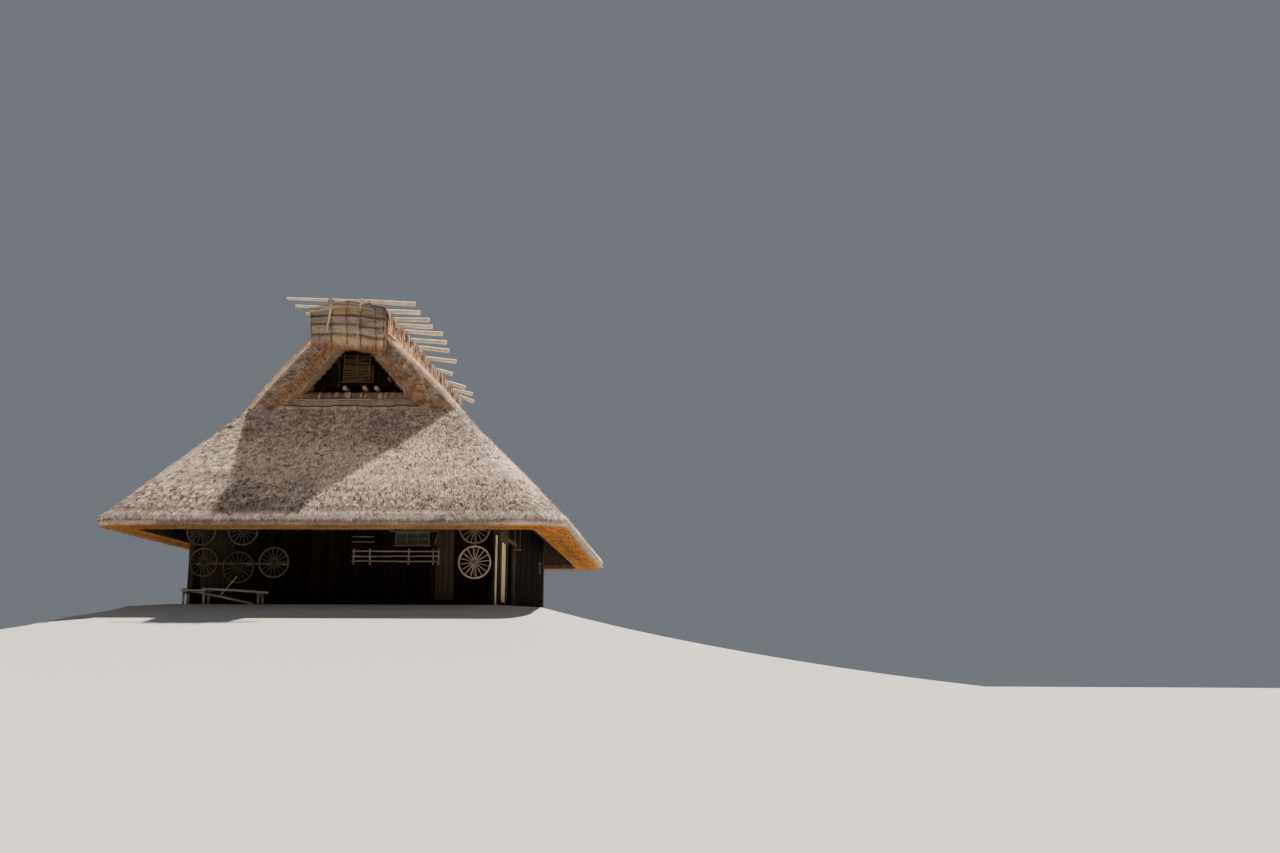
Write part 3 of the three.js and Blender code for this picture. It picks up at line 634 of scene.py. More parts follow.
def thatch_skirt(side, straight, plan):
    """The thatch below the gables on one side of the roof, with its straws: a stack and its grid."""
    rows = skirt_rows()
    kinds = [row[4] for row in rows]
    grid = skirt_grid(rows, side, straight, 7)
    grid = roof_lift(grid, grid_normals(grid), kinds)
    tint = strata(roof_tint(grid, kinds), grid, kinds)
    stack = Stack()
    stack.sheet(grid, tint)
    split_shag(stack, grid, tint, kinds, plan)
    return stack, grid


def end_thatch():
    plan = dict(SKIRT_PLAN, top=(END_TOP_DENSITY, SKIRT_PLAN["top"][1]))
    stack, grid = thatch_skirt(False, 150, plan)
    top = np.stack([grid[-1], grid[-1] * 0.5 + grid[0] * 0.5 + [0, 0, 0.01], grid[0]])
    stack.sheet(top, (0.2, 0.15, 0.1))
    return stack


def side_thatch():
    stack, _ = thatch_skirt(True, 170, SKIRT_PLAN)
    # the slope above the gable's foot, out to the verges
    z = np.linspace(GABLE_BASE - 0.03, SLOPE_TOP, 36)[:, None]
    upper = sheet_grid(OUTER_SUM - z + bulge(z), (verge_y(z) - 0.20) * np.linspace(-1, 1, 200), z)
    kinds = ["top"] * len(upper)
    upper = roof_lift(upper, grid_normals(upper), kinds)
    colours = roof_tint(upper, kinds)
    stack.sheet(upper, colours)
    split_shag(stack, upper, colours, kinds, {"top": SKIRT_PLAN["top"]})
    # the inner face above the end slopes, between the frames
    z = np.linspace(GABLE_BASE, 8.87, 8)[:, None]
    stack.sheet(sheet_grid(INNER_SUM - z, np.linspace(-6.35, 6.35, 60), z), (0.13, 0.085, 0.055), True)
    for sign in (-1, 1):
        verge(stack, sign)
    return stack


def verge_y(z):
    """How far out the verge stands at a height: it leans outwards."""
    return VERGE_FOOT_Y + (z - GABLE_BASE) * VERGE_LEAN


def verge_shape(sign):
    """The surface of one cut end of the upper slope, and each column's depth in the straw."""
    section = []
    for turn in np.linspace(0, math.pi / 2, 9):
        section.append((OUTER_SUM - 0.24 * (1 - math.cos(turn)), 0.22 * (1 - math.sin(turn))))
    section += [(total, 0.0) for total in np.linspace(10.30, 9.56, 12)]
    section += [(9.51, 0.012), (9.47, 0.04), (9.445, 0.09)]
    section += [(INNER_SUM, inward) for inward in (0.2, 0.35, 0.55, 0.75, 1.0)]
    total, inward = np.array(section[::sign]).T
    z = np.linspace(6.76, 9.95, 60)[:, None]
    low = np.clip((8.7 - z) / 1.7, 0, 1) * np.clip((10.0 - total) / 0.5, 0, 1)
    x = total - 0.25 * low - z + bulge(z) * np.clip((total - 9.56) / 1.04, 0, 1)
    y = sign * (verge_y(z) - inward)
    depth = np.clip((OUTER_SUM - total) / 1.16, 0, 1)
    return np.stack([x, y, np.broadcast_to(z, x.shape)], axis=2), np.broadcast_to(depth, x.shape)


def verge_tint(flat, depth):
    """Pale straw on the arris, lightened as a painted highlight of its sunlit edge; grey-brown then
    orange-brown on the cut face; brown by the ridge, partly painted shade under the mat.
    """
    worn = 0.15 * rough(flat, 0.45, 76)
    tint = mix((0.32, 0.25, 0.205), (0.275, 0.17, 0.105), np.clip((depth + worn - 0.40) / 0.28, 0, 1))
    layer = smooth_noise(np.stack([depth * 9, flat[:, 2] * 0.35, depth * 0], axis=1), 1.0, 74)
    mottle = smooth_noise(flat, 0.05, 75) + smooth_noise(flat, 0.12, 77)
    tint = tint * (1 + 0.16 * layer + 0.46 * mottle).clip(0.2, 2)[:, None]
    # the ragged inner edge turns brown high up: rust-brown straw and painted shade under the mat
    inner = mix((0.46, 0.35, 0.25), (0.25, 0.125, 0.06), np.clip((flat[:, 2] - 8.75) / 0.3, 0, 1))
    ragged = np.exp(-((depth - 0.97) / 0.06) ** 2) * (0.6 + 0.4 * smooth_noise(flat, 0.09, 78))
    tint = mix(tint, inner, 0.8 * ragged)
    # the arris: pale straw lightened as a painted highlight of its sunlit edge
    arris = np.array((0.80, 0.61, 0.48)) * (1 + 0.2 * smooth_noise(flat, 0.06, 79))[:, None]
    share = np.clip((0.23 - depth) / 0.06, 0, 1)[:, None]
    return tint * (1 - share) + arris * share


# Straws of the verge: its columns from the arris to the underside, number, shade and settings; the
# underside's shade of 0.8 is painted shade
VERGE_COLUMNS = 29
VERGE_STRAWS = (
    ((8, 23), 9000, 1.0, dict(length=(0.02, 0.07), width=(0.008, 0.018), lift=0.03, spread=0.9,
                              turned_up=0.5, tone=0.5, clump=0.3)),
    ((0, 9), 3600, 1.0, dict(length=(0.05, 0.15), width=(0.010, 0.020), lift=0.014, spread=0.35,
                             tone=0.24, clump=0.3)),
    # the underside's straws, darker as painted shade
    ((23, 29), 2200, 0.8, dict(length=(0.04, 0.14), width=(0.010, 0.020), lift=0.02, spread=0.5, tone=0.3)),
    ((20, 24), 2600, 1.0, dict(length=(0.05, 0.17), width=(0.008, 0.018), lift=0.03, sag=1.2,
                               spread=0.5, tone=0.4)),
)


def verge(stack, sign):
    """One cut end of the upper slope: its rounded arris, its face, and the underside behind it."""
    grid, depth = verge_shape(sign)
    normals = grid_normals(grid)
    flat = grid.reshape(-1, 3)
    ragged = np.exp(-((depth - 1) / 0.12) ** 2)
    lump = smooth_noise(flat, 0.11, 70) * 0.012 + rough(flat, 0.5, 71) * 0.02
    torn = smooth_noise(flat, 0.09, 72).reshape(depth.shape)
    push = lump.reshape(depth.shape) - 0.016 + ragged * 0.05 * torn
    outward = normals * np.sign(normals[..., 1:2] * sign)
    grid = grid + np.where(np.abs(normals[..., 1:2]) > 0.3, outward, 0) * push[..., None]
    grid[..., 2] += ragged * 0.036 * (0.5 + 0.5 * smooth_noise(flat, 0.12, 73).reshape(depth.shape))
    tint = verge_tint(flat, depth.ravel()).reshape(grid.shape)
    stack.sheet(grid, tint, turned=True)
    for (first, last), count, shade, settings in VERGE_STRAWS:
        part = slice(first, last) if sign > 0 else slice(VERGE_COLUMNS - last, VERGE_COLUMNS - first)
        shag(stack, grid[:, part], tint[:, part] * shade, count, downward=True, **settings)


build_pair(end_thatch(), "*_thatch", straw_look, "thatch", "thatch_*")
build_pair(side_thatch(), "*_thatch", straw_look, "thatch", "thatch_*", ("right", "left"))


# Ridge
def ridge_straw():
    """The upright straw faces of the ridge, whose ragged foot hangs on the slopes."""
    stack = Stack()
    share = np.linspace(0, 1, 22)[:, None]
    z = 10.12 - 0.90 * share
    x = np.maximum(1.285 + 0.035 * np.sin(share * math.pi), OUTER_SUM - z + bulge(z) + 0.02)
    reach = verge_y(z) + 0.02 - 0.16 * np.clip((SLOPE_TOP - z) / 0.2, 0, 1)
    for sign in (-1, 1):
        grid = sheet_grid(sign * x, reach * np.linspace(-1, 1, 240), z)
        flat = grid.reshape(-1, 3)
        grid[..., 0] += sign * (rough(flat, (0.3, 0.16, 0.9), 90).reshape(grid.shape[:2]) * 0.03)
        tone = 1 + 0.30 * smooth_noise(flat, (0.3, 0.07, 0.9), 93) + 0.15 * rough(flat, 1.4, 94)
        colour = mix((0.95, 0.63, 0.37), (0.80, 0.50, 0.28), 0.5 + 0.5 * smooth_noise(flat, 0.7, 95))
        # dark streaks down the straw: painted shadow streaks of the bark that hangs over it
        streak = np.clip(3.0 * smooth_noise(flat, (0.3, 0.12, 1.1), 96) - 0.5, 0, 0.9)
        colour = mix(colour, np.array((0.27, 0.145, 0.09)), streak)
        tint = (colour * tone[:, None]).reshape(grid.shape)
        flip = sign > 0
        stack.sheet(grid, tint, flip)
        shag(stack, grid, tint, 26000, length=(0.10, 0.34), width=(0.008, 0.018), lift=0.02,
             spread=0.12, tone=0.26, flip=flip)
        shag(stack, grid[-5:], tint[-5:], 6000, length=(0.10, 0.26), width=(0.01, 0.02), lift=0.03,
             spread=0.25, tone=0.3, flip=flip)
    return stack


# The ropes round the mat, each as places and heights along it from left to right, and the mat's foot
MAT_TIES = (
    ((-1.32, -0.685, -0.05, 0.41, 0.94, 1.25), (9.90, 9.945, 9.945, 9.93, 9.83, 9.805)),
    ((-1.3, -0.63, -0.05, 0.28, 0.58, 0.94, 1.25), (9.65, 9.655, 9.65, 9.615, 9.545, 9.51, 9.51)),
    ((-1.33, -0.99, -0.63, -0.05, 0.28, 0.58, 0.94, 1.25),
     (9.33, 9.32, 9.33, 9.305, 9.29, 9.24, 9.17, 9.147)),
)
MAT_FOOT = (
    (-1.33, -1.09, -0.63, -0.05, 0.2, 0.58, 0.94, 1.19), (9.02, 8.98, 8.925, 8.90, 8.877, 8.83, 8.818, 8.80),
)
RED_ROPE = -0.06
MAT_ROPES = (-0.61, RED_ROPE, 0.41, 0.94, 1.22)
MAT_LEFT, MAT_RIGHT = -1.33, 1.255
# Colours of the mat's tiers from the top down, at its left, its middle and its right
MAT_TONES = np.array((
    ((0.24, 0.20, 0.17), (0.31, 0.225, 0.145), (0.24, 0.19, 0.165)),
    ((0.26, 0.215, 0.19), (0.31, 0.25, 0.22), (0.31, 0.25, 0.215)),
    ((0.34, 0.28, 0.235), (0.345, 0.28, 0.235), (0.35, 0.285, 0.235)),
    ((0.345, 0.28, 0.235), (0.49, 0.365, 0.235), (0.49, 0.365, 0.235)),
))


def mat_out(x, z):
    """How far the mat stands out from the verge's plane: full rolls between the ties."""
    pinch = 0.0
    for tie in MAT_TIES:
        pinch = pinch + np.exp(-((z - np.interp(x, *tie)) / 0.05) ** 2)
    ropes = 0.0
    for place in MAT_ROPES:
        ropes = ropes + np.exp(-((x - place) / 0.035) ** 2)
    return MAT_THICKNESS + 0.02 - 0.07 * np.clip(pinch, 0, 1) - 0.035 * np.clip(ropes, 0, 1)


def mat_tint(flat):
    """Colour of the mat's straw: each tier has its own tones, with painted shadow lines along the ties and
    ropes, and rusty at the foot.
    """
    x, z = flat[:, 0], flat[:, 2]
    tier = np.zeros(len(flat), int)
    # darkening beside the ties and ropes: painted shadow lines
    painted_rope_shadow = np.zeros(len(flat))
    for tie in MAT_TIES:
        tier += z < np.interp(x, *tie)
        painted_rope_shadow += np.exp(-((z - np.interp(x, *tie)) / 0.024) ** 2)
    for place in MAT_ROPES:
        painted_rope_shadow += 0.8 * np.exp(-((x - place) / 0.026) ** 2)
    tones = MAT_TONES[tier]
    colour = mix(tones[:, 0], tones[:, 1], np.clip((x + 0.80) / 0.3, 0, 1))
    colour = mix(colour, tones[:, 2], np.clip((x - 0.40) / 0.3, 0, 1))
    above_foot = z - np.interp(x, *MAT_FOOT) + 0.03 * smooth_noise(flat, 0.08, 109)
    colour = mix(colour, np.array((0.27, 0.145, 0.07)), np.clip((0.13 - above_foot) / 0.08, 0, 1))
    tone = 1 + 0.14 * rough(flat, 0.7, 105) + 0.2 * smooth_noise(flat, (0.35, 0.3, 0.03), 106)
    tone = tone + 0.18 * smooth_noise(flat, 0.06, 107)
    return colour * (tone * (1 - 0.45 * np.clip(painted_rope_shadow, 0, 1)))[:, None]


def mat_outline():
    """Places across the mat, and how much of its thickness it has at each."""
    corner = ((0.0, 0.0), (0.0, 0.3), (0.005, 0.6), (0.02, 0.8), (0.05, 0.93))
    outline = [(MAT_LEFT - 0.05, -0.35)] + [(MAT_LEFT + inset, share) for inset, share in corner]
    outline += [(x, 1.0) for x in np.linspace(MAT_LEFT + 0.09, MAT_RIGHT - 0.09, 84)]
    outline += [(MAT_RIGHT - inset, share) for inset, share in corner[::-1]]
    return np.array(outline + [(MAT_RIGHT + 0.06, -0.35)]).T


def ridge_mat():
    stack = Stack()
    x, share = mat_outline()
    down = np.linspace(0, 1, 90)
    top = RIDGE_PEAK + 0.02 - (RIDGE_PEAK - RIDGE_SHOULDER) * np.abs(x) / RIDGE_SIDE
    ragged = smooth_noise(np.stack([x, x * 0, x * 0], axis=1), 0.10, 101)
    bottom = np.interp(x, *MAT_FOOT) + 0.035 * ragged
    z = top[None] + (bottom - top)[None] * down[:, None]
    wide = np.broadcast_to(x[None], z.shape)
    out = mat_out(wide, z) * share[None]
    flat = np.stack([wide.ravel(), out.ravel(), z.ravel()], axis=1)
    lump = rough(flat, (0.22, 0.3, 0.10), 103) * 0.018 + smooth_noise(flat, 0.05, 104) * 0.006
    out = out + lump.reshape(z.shape)
    out = out * (1 - 0.35 * np.clip((down - 0.94) / 0.06, 0, 1)[:, None])
    grid = np.stack([wide, -(verge_y(z) + out), z], axis=2)
    tint = mat_tint(grid.reshape(-1, 3)).reshape(grid.shape)
    stack.sheet(grid, tint, True, turned=True)
    level = grid[:68].transpose(1, 0, 2)
    shag(stack, level, tint[:68].transpose(1, 0, 2), 12000, length=(0.05, 0.17), width=(0.007, 0.014),
         lift=0.008, spread=0.16, tone=0.28)
    shag(stack, grid[66:], tint[66:], 7000, length=(0.04, 0.15), width=(0.007, 0.014), lift=0.010,
         spread=0.3, tone=0.28, flip=True)
    shag(stack, grid[-6:, 4:-4], tint[-6:, 4:-4], 4600, length=(0.05, 0.16), width=(0.009, 0.018),
         lift=0.04, sag=0.5, spread=0.4, tone=0.42, flip=True)
    # the underside, back to the gable, in dark brown with its straws: painted shade under the mat
    under = np.stack([grid[-1], grid[-1] + [0, 0.16, 0.03], grid[-1] + [0, 0.45, 0.02]])
    stack.sheet(under, (0.12, 0.07, 0.04), True)
    brown = np.full(under.shape, (0.20, 0.11, 0.055))
    shag(stack, under, brown, 2600, length=(0.05, 0.16), width=(0.01, 0.02), lift=0.02, sag=2.5,
         spread=0.4, tone=0.4)
    return stack


def on_mat(places, away):
    """Points on the mat's face from places and heights, and this far out from it."""
    return [[x, -(verge_y(z) + float(mat_out(x, z)) + away), z] for x, z in places]


def knot(stack, x, z, tint):
    """Three loops of rope round the head of a stick."""
    for turn in (-1, 0, 1):
        loop = []
        for a in np.linspace(0, 2 * math.pi, 12):
            y = -8.10 - 0.015 * turn
            loop.append([x + 0.03 * turn + 0.055 * math.cos(a), y, z + 0.095 * math.sin(a)])
        pole(stack, loop, 0.014, tint, sides=5, lump=0.2)


MAT_STICKS = (
    (((-0.57, 10.33), (-0.61, 10.05), (-0.66, 9.77), (-0.72, 9.55), (-0.77, 9.35)),
     (0.045, 0.043, 0.040, 0.036, 0.032)),
    (((0.46, 10.33), (0.44, 10.20), (0.42, 10.07)), (0.042, 0.040, 0.034)),
    (((0.30, 9.63), (0.315, 9.44), (0.32, 9.25), (0.31, 9.06), (0.30, 8.88)),
     (0.020, 0.025, 0.025, 0.024, 0.018)),
)
MAT_CORD = ((0.42, 10.07), (0.39, 9.9), (0.34, 9.75), (0.30, 9.62))
MAT_ROLL = (
    (-1.33, 10.085), (-1.0, 10.10), (-0.63, 10.165), (-0.3, 10.21), (-0.05, 10.235), (0.45, 10.19),
    (0.9, 10.11),
)
MAT_ROLL_RADII = (0.105, 0.09, 0.070, 0.048, 0.032, 0.028, 0.020)


def mat_ropes(stack):
    """Brown ropes along the mat and down it."""
    dark, brown, red = (0.15, 0.092, 0.062), (0.105, 0.068, 0.048), (0.12, 0.05, 0.03)
    for tie in MAT_TIES:
        places = np.linspace(MAT_LEFT + 0.03, MAT_RIGHT - 0.03, 44)
        path = on_mat([(x, float(np.interp(x, *tie))) for x in places], 0.002)
        first, last = path[0], path[-1]
        path = [[MAT_LEFT - 0.01, first[1] + 0.2, first[2]]] + path
        path += [[MAT_RIGHT + 0.01, last[1] + 0.2, last[2]]]
        pole(stack, path, 0.010, dark, sides=6, lump=0.25)
    for place in MAT_ROPES:
        high, low = 10.30 - 0.17 * abs(place), float(np.interp(place, *MAT_FOOT)) + 0.05
        places = [(place + 0.014 * math.sin(z * 9 + place), z) for z in np.linspace(high, low, 24)]
        pole(stack, on_mat(places, 0.004), 0.018, red if place == RED_ROPE else brown, sides=6, lump=0.25)
    places = [(-1.03 + 0.01 * math.sin(z * 7), z) for z in np.linspace(9.64, 9.10, 14)]
    pole(stack, on_mat(places, 0.002), 0.008, dark, sides=6, lump=0.25)


def mat_ties():
    """Ropes round the mat, pale sticks that hang on it, and the tapered roll on its top."""
    stack = Stack()
    mat_ropes(stack)
    for places, thick in MAT_STICKS:
        pole(stack, on_mat(places, 0.04), thick, (0.46, 0.40, 0.33), sides=9, lump=0.14)
    pole(stack, on_mat(MAT_CORD, 0.012), 0.009, (0.26, 0.2, 0.15), sides=6, lump=0.2)
    pole(stack, on_mat(MAT_ROLL, 0.03), MAT_ROLL_RADII, (0.33, 0.27, 0.225), sides=10, lump=0.14)
    knot(stack, -0.58, 10.36, (0.30, 0.24, 0.19))
    knot(stack, 0.51, 10.36, (0.52, 0.45, 0.37))
    return stack


BARK_TONES = (
    (0.42, 0.34, 0.29), (0.30, 0.23, 0.205), (0.45, 0.35, 0.25), (0.16, 0.11, 0.09), (0.36, 0.28, 0.24),
)


BARK_END = 7.98
# A bark sheet's run from the peak to the edge, as places out from the ridge's middle and heights
BARK_SPINE = (
    (-0.03, 10.405), (0.22, 10.365), (0.5, 10.315), (0.8, 10.262), (1.08, 10.212), (1.26, 10.178),
    (1.315, 10.13), (1.33, 10.06),
)


def bark_strip(stack, y, width, side, level, drop, tint):
    """One sheet of bark from the peak down one side, with a ragged end that hangs over the edge."""
    spine = [*BARK_SPINE, (1.335, 10.06 - drop)]
    cols = 4
    grid = np.zeros((len(spine), cols, 3))
    curl = rng.uniform(0.0, 0.015)
    wander = rng.normal(0, 0.03)
    for k, (x, z) in enumerate(spine):
        s = k / (len(spine) - 1)
        hang = min(max(0.0, (x - 1.26) / 0.06), 1.0)
        for j in range(cols):
            across = j / (cols - 1) - 0.5
            lift = level + curl * (4 * across * across) * s + rng.normal(0, 0.003)
            torn = rng.uniform(-0.05, 0.05) if k == len(spine) - 1 else 0.0
            grid[k, j] = (
                side * (x + lift * hang),
                y + across * width * (1 - 0.12 * s) + wander * s,
                z + lift * (1 - hang) + torn,
            )
    under = grid.copy()
    under[..., 2] -= 0.010
    under[-3:, :, 0] -= side * 0.010
    flip = side > 0
    stack.sheet(grid, tint, flip, shift=rng.uniform(0, 30, 3))
    # the underside and the rim are darker copies of the bark's tint: painted shade
    stack.sheet(under, tint * 0.6, not flip, shift=rng.uniform(0, 30, 3))
    rim_top = np.concatenate([grid[:, 0], grid[-1, 1:], grid[::-1, -1][1:]])
    rim_low = np.concatenate([under[:, 0], under[-1, 1:], under[::-1, -1][1:]])
    stack.sheet(np.stack([rim_top, rim_low]), tint * 0.75, flip)


def loose_twigs(stack):
    """Twigs and shreds of bark that hang over the edge of the ridge."""
    for side in (-1, 1):
        for _ in range(80):
            y, z = rng.uniform(-7.7, 7.7), rng.uniform(9.98, 10.17)
            long, lean = rng.uniform(0.2, 0.6), rng.normal(0, 0.5)
            path = []
            for s in np.linspace(0, 1, 4):
                out = 1.36 + 0.03 * s + rng.uniform(0, 0.015)
                path.append([side * out, y + long * math.sin(lean) * s, z - long * math.cos(lean) * s])
            tint = np.array(BARK_TONES[rng.integers(0, 5)]) * rng.uniform(0.8, 1.7)
            pole(stack, path, rng.uniform(0.007, 0.013), tint, sides=5, lump=0.2)


def ridge_bark():
    """A dark sheet over the ridge, strips of bark that overlap on it, and twigs at its edges."""
    stack = Stack()
    y = np.linspace(-BARK_END, BARK_END, 60)
    x = np.array([-1.325, -1.28, -0.65, 0, 0.65, 1.28, 1.325])
    z = np.array([10.10, 10.145, 10.265, 10.39, 10.265, 10.145, 10.10])
    grid = sheet_grid(x, y[:, None], z)
    grid[..., 2] += rough(grid.reshape(-1, 3), 0.3, 120).reshape(grid.shape[:2]) * 0.01 - 0.01
    stack.sheet(grid, (0.13, 0.09, 0.075))
    for side in (-1, 1):
        place = -8.0
        layer = 0
        while place < BARK_END:
            width = rng.uniform(0.08, 0.22)
            tint = np.array(BARK_TONES[rng.integers(0, 5)]) * rng.uniform(0.85, 1.15)
            drop = rng.uniform(0.05, 0.38) if abs(place) < 7.6 else rng.uniform(0.0, 0.06)
            level = 0.003 + 0.009 * (layer % 3) + rng.uniform(0, 0.004)
            bark_strip(stack, min(place + width / 2, 7.93), width, side, level, drop, tint)
            place += width * 0.7
            layer += 1
    loose_twigs(stack)
    return stack


# Each ridge log: place along the ridge, reach to the left and right, and the slopes in degrees of its
# left part, its middle and its right end
LOGS = (
    (-7.75, 2.23, 2.28, (2.7, 2.7, 2.7)),
    (-6.60, 2.25, 2.23, (4, 3.6, 3.6)),
    (-5.50, 2.18, 2.34, (4.2, 3.4, 2)),
    (-4.65, 2.25, 2.31, (4, 3.9, 3.9)),
    (-3.80, 2.20, 2.54, (4.6, 4.6, 4.6)),
    (-2.40, 2.25, 2.44, (4.8, 4.8, 4.8)),
    (-1.30, 2.20, 2.35, (6, 6.5, 6.5)),
    (0.45, 2.25, 2.34, (6, 7.4, 7.4)),
    (2.45, 2.10, 1.85, (4, 10, 17)),
    (4.95, 2.15, 1.98, (5, 10, 18)),
    (6.65, 2.10, 2.03, (5, 9.5, 13)),
    (7.78, 2.15, 1.92, (4, 12, 20)),
)
LOG_KNEE = 1.3
LOG_THIN, LOG_THICK = 0.046, 0.083


def log_height(x, slopes):
    left, middle, end = (math.tan(math.radians(angle)) for angle in slopes)
    level = RIDGE_PEAK + 0.115
    return level - left * min(x, 0) - middle * min(max(x, 0), LOG_KNEE) - end * max(x - LOG_KNEE, 0)


def log_ropes(stack, place, left, right, slopes):
    """Four turns of rope round a log on each side of the peak."""
    for middle in (-0.62, 0.66):
        for turn in range(4):
            at = middle + 0.026 * turn + rng.normal(0, 0.004)
            height = log_height(at, slopes)
            size = LOG_THIN + (LOG_THICK - LOG_THIN) * (at + left) / (left + right) + 0.012
            ring = []
            for a in np.linspace(0, 2 * math.pi, 13):
                c, s = math.cos(a), math.sin(a)
                ring.append([at + 0.012 * s, place + size * s, height + size * c])
            pole(stack, ring, 0.013, (0.38, 0.32, 0.26), sides=5, lump=0.25)


def ridge_log(place, left, right, slopes):
    """A bare pole with a slight bend, lashed down on both sides of the peak."""
    stack = Stack()
    x = np.linspace(-left + 0.01, right - 0.01, 25)
    share = np.linspace(-1, 1, 25)
    phase = rng.uniform(0, 6, 2)
    sway = 0.012 * np.sin(6 * share + phase[0]) + rng.uniform(-0.025, 0.025) * (1 - share**2)
    rise = np.array([log_height(v, slopes) for v in x]) + 0.008 * np.sin(5 * share + phase[1]) * np.abs(share)
    path = np.stack([x, place + sway, rise], axis=1)
    thick = np.linspace(LOG_THIN, LOG_THICK, 25) * (1 + rng.normal(0, 0.025, 25))
    pole(stack, path, thick, (0.68, 0.64, 0.53), sides=12, lump=0.05, end_tint=(0.62, 0.55, 0.45))
    log_ropes(stack, place, left, right, slopes)
    return stack


ridge_straw().build("ridge_straw", straw_look, "straw", ["ridge_cover"])
build_pair(ridge_mat(), "mat_*", straw_look, "straw", "ridge_end_*")
build_pair(mat_ties(), "mat_ties_*", wood_look, "log")
ridge_bark().build("bark_cap", bark_look, "bark", ["ridge_cap"], smooth=False)
for number, log in enumerate(LOGS, 1):
    ridge_log(*log).build(f"log_{number:02d}", wood_look, "log", [f"ridge_log_{number:02d}"])


# Gable
HIP_PROFILE = (
    (-6.86, 6.885), (-6.865, 6.92), (-6.84, 6.98), (-6.80, 7.05), (-6.755, 7.12), (-6.715, 7.18),
    (-6.68, 7.215), (-6.65, 7.25), (-6.605, 7.32), (-6.56, 7.39), (-6.51, 7.45), (-6.46, 7.495),
    (-6.40, 7.51), (-6.33, 7.50), (-6.2, 7.46),
)
STRIP_TONES = ((0.36, 0.25, 0.19), (0.48, 0.34, 0.25), (0.22, 0.15, 0.11))


def hip_tint(flat):
    """Straw in the lower half of the roll and bark in the upper, both in uneven tones."""
    upper = np.clip((flat[:, 2] - 7.19) / 0.05, 0, 1)
    straw_share = 0.5 + 0.5 * smooth_noise(flat, (0.16, 5, 0.5), 133)
    bark_share = 0.5 + 0.5 * smooth_noise(flat, (0.22, 5, 0.2), 134)
    straw = mix((0.58, 0.46, 0.40), (0.38, 0.30, 0.25), straw_share)
    bark = mix((0.38, 0.265, 0.195), (0.17, 0.115, 0.085), bark_share)
    return mix(straw, bark, upper) * (1 + 0.2 * smooth_noise(flat, 0.06, 135))[:, None]


def hip_strips(stack):
    """Loose strips of bark over the upper half of the roll."""
    upper_y, upper_z = np.array(HIP_PROFILE[6:14][::-1]).T
    steps = np.arange(8)
    for _ in range(26):
        x = rng.uniform(-1.95, 1.95)
        width = rng.uniform(0.05, 0.20)
        colour = np.array(STRIP_TONES[rng.integers(0, 3)])
        strip = np.zeros((6, 4, 3))
        for k, s in enumerate(np.linspace(rng.uniform(0.0, 0.2), rng.uniform(0.72, 1.0), 6)):
            y, z = np.interp(s * 7, steps, upper_y), np.interp(s * 7, steps, upper_z)
            for j in range(4):
                across = x + (j / 3 - 0.5) * width + rng.normal(0, 0.004)
                edge = j in (0, 3)
                strip[k, j] = (across, y - 0.022 - 0.006 * edge, z + 0.012 + rng.normal(0, 0.004))
        stack.sheet(strip, colour * rng.uniform(0.9, 1.2), True, shift=rng.uniform(0, 20, 3))


def hip_rails(stack):
    """A pale pole in the middle of the roll, and a dark rail along its foot that paints the shadow line under
    the roll's lip.
    """
    rail = []
    for x in np.linspace(-2.05, 0.62, 18):
        rail.append([x, -6.745 + 0.006 * math.sin(x * 5), 7.19 + 0.010 * math.sin(x * 2.3 + 1)])
    pole(stack, rail, 0.018, (0.34, 0.26, 0.20), sides=8, lump=0.08)
    # the dark rail: painted shadow line under the roll's lip
    low = []
    for x in np.linspace(-2.38, 2.38, 46):
        z = 6.93 + 0.016 * math.sin(x * 2.9 + 2) + 0.010 * math.sin(x * 8.3)
        low.append([x, -6.885 + 0.01 * math.sin(x * 4), z])
    pole(stack, low, 0.021, (0.06, 0.04, 0.03), sides=8, lump=0.12)


def hip_roll():
    """The roll on top of the hip: a band of straw below, bark above, and two thin poles along it."""
    stack = Stack()
    rows, cols = len(HIP_PROFILE), 120
    grid = np.zeros((rows, cols, 3))
    for k, (y, z) in enumerate(HIP_PROFILE):
        half = INNER_SUM - z + 0.10
        grid[k] = np.stack([np.linspace(-half, half, cols), np.full(cols, y), np.full(cols, z)], axis=1)
    flat = grid.reshape(-1, 3)
    grid[..., 1] -= (rough(flat, (0.25, 1, 0.12), 130) * 0.018 - 0.005).reshape(rows, cols)
    grid[..., 2] += (smooth_noise(flat, (0.12, 1, 1), 131) * 0.012).reshape(rows, cols)
    grid[0, :, 2] += smooth_noise(grid[0], 0.09, 132) * 0.03
    tint = hip_tint(flat).reshape(rows, cols, 3)
    stack.sheet(grid, tint)
    shag(stack, grid[:7], tint[:7], 6500, length=(0.05, 0.16), width=(0.008, 0.018), lift=0.012,
         spread=0.3, tone=0.28, downward=True)
    shag(stack, grid[6:12], tint[6:12], 3500, length=(0.04, 0.12), width=(0.01, 0.02), lift=0.01,
         spread=0.3, tone=0.3, downward=True)
    hip_strips(stack)
    hip_rails(stack)
    return stack


GABLE_EDGES = (
    -1.66, -1.46, -1.27, -1.1, -0.9, -0.71, -0.49, -0.3, -0.1, 0.11, 0.29, 0.49, 0.7, 0.88, 1.06, 1.27,
    1.47, 1.66,
)


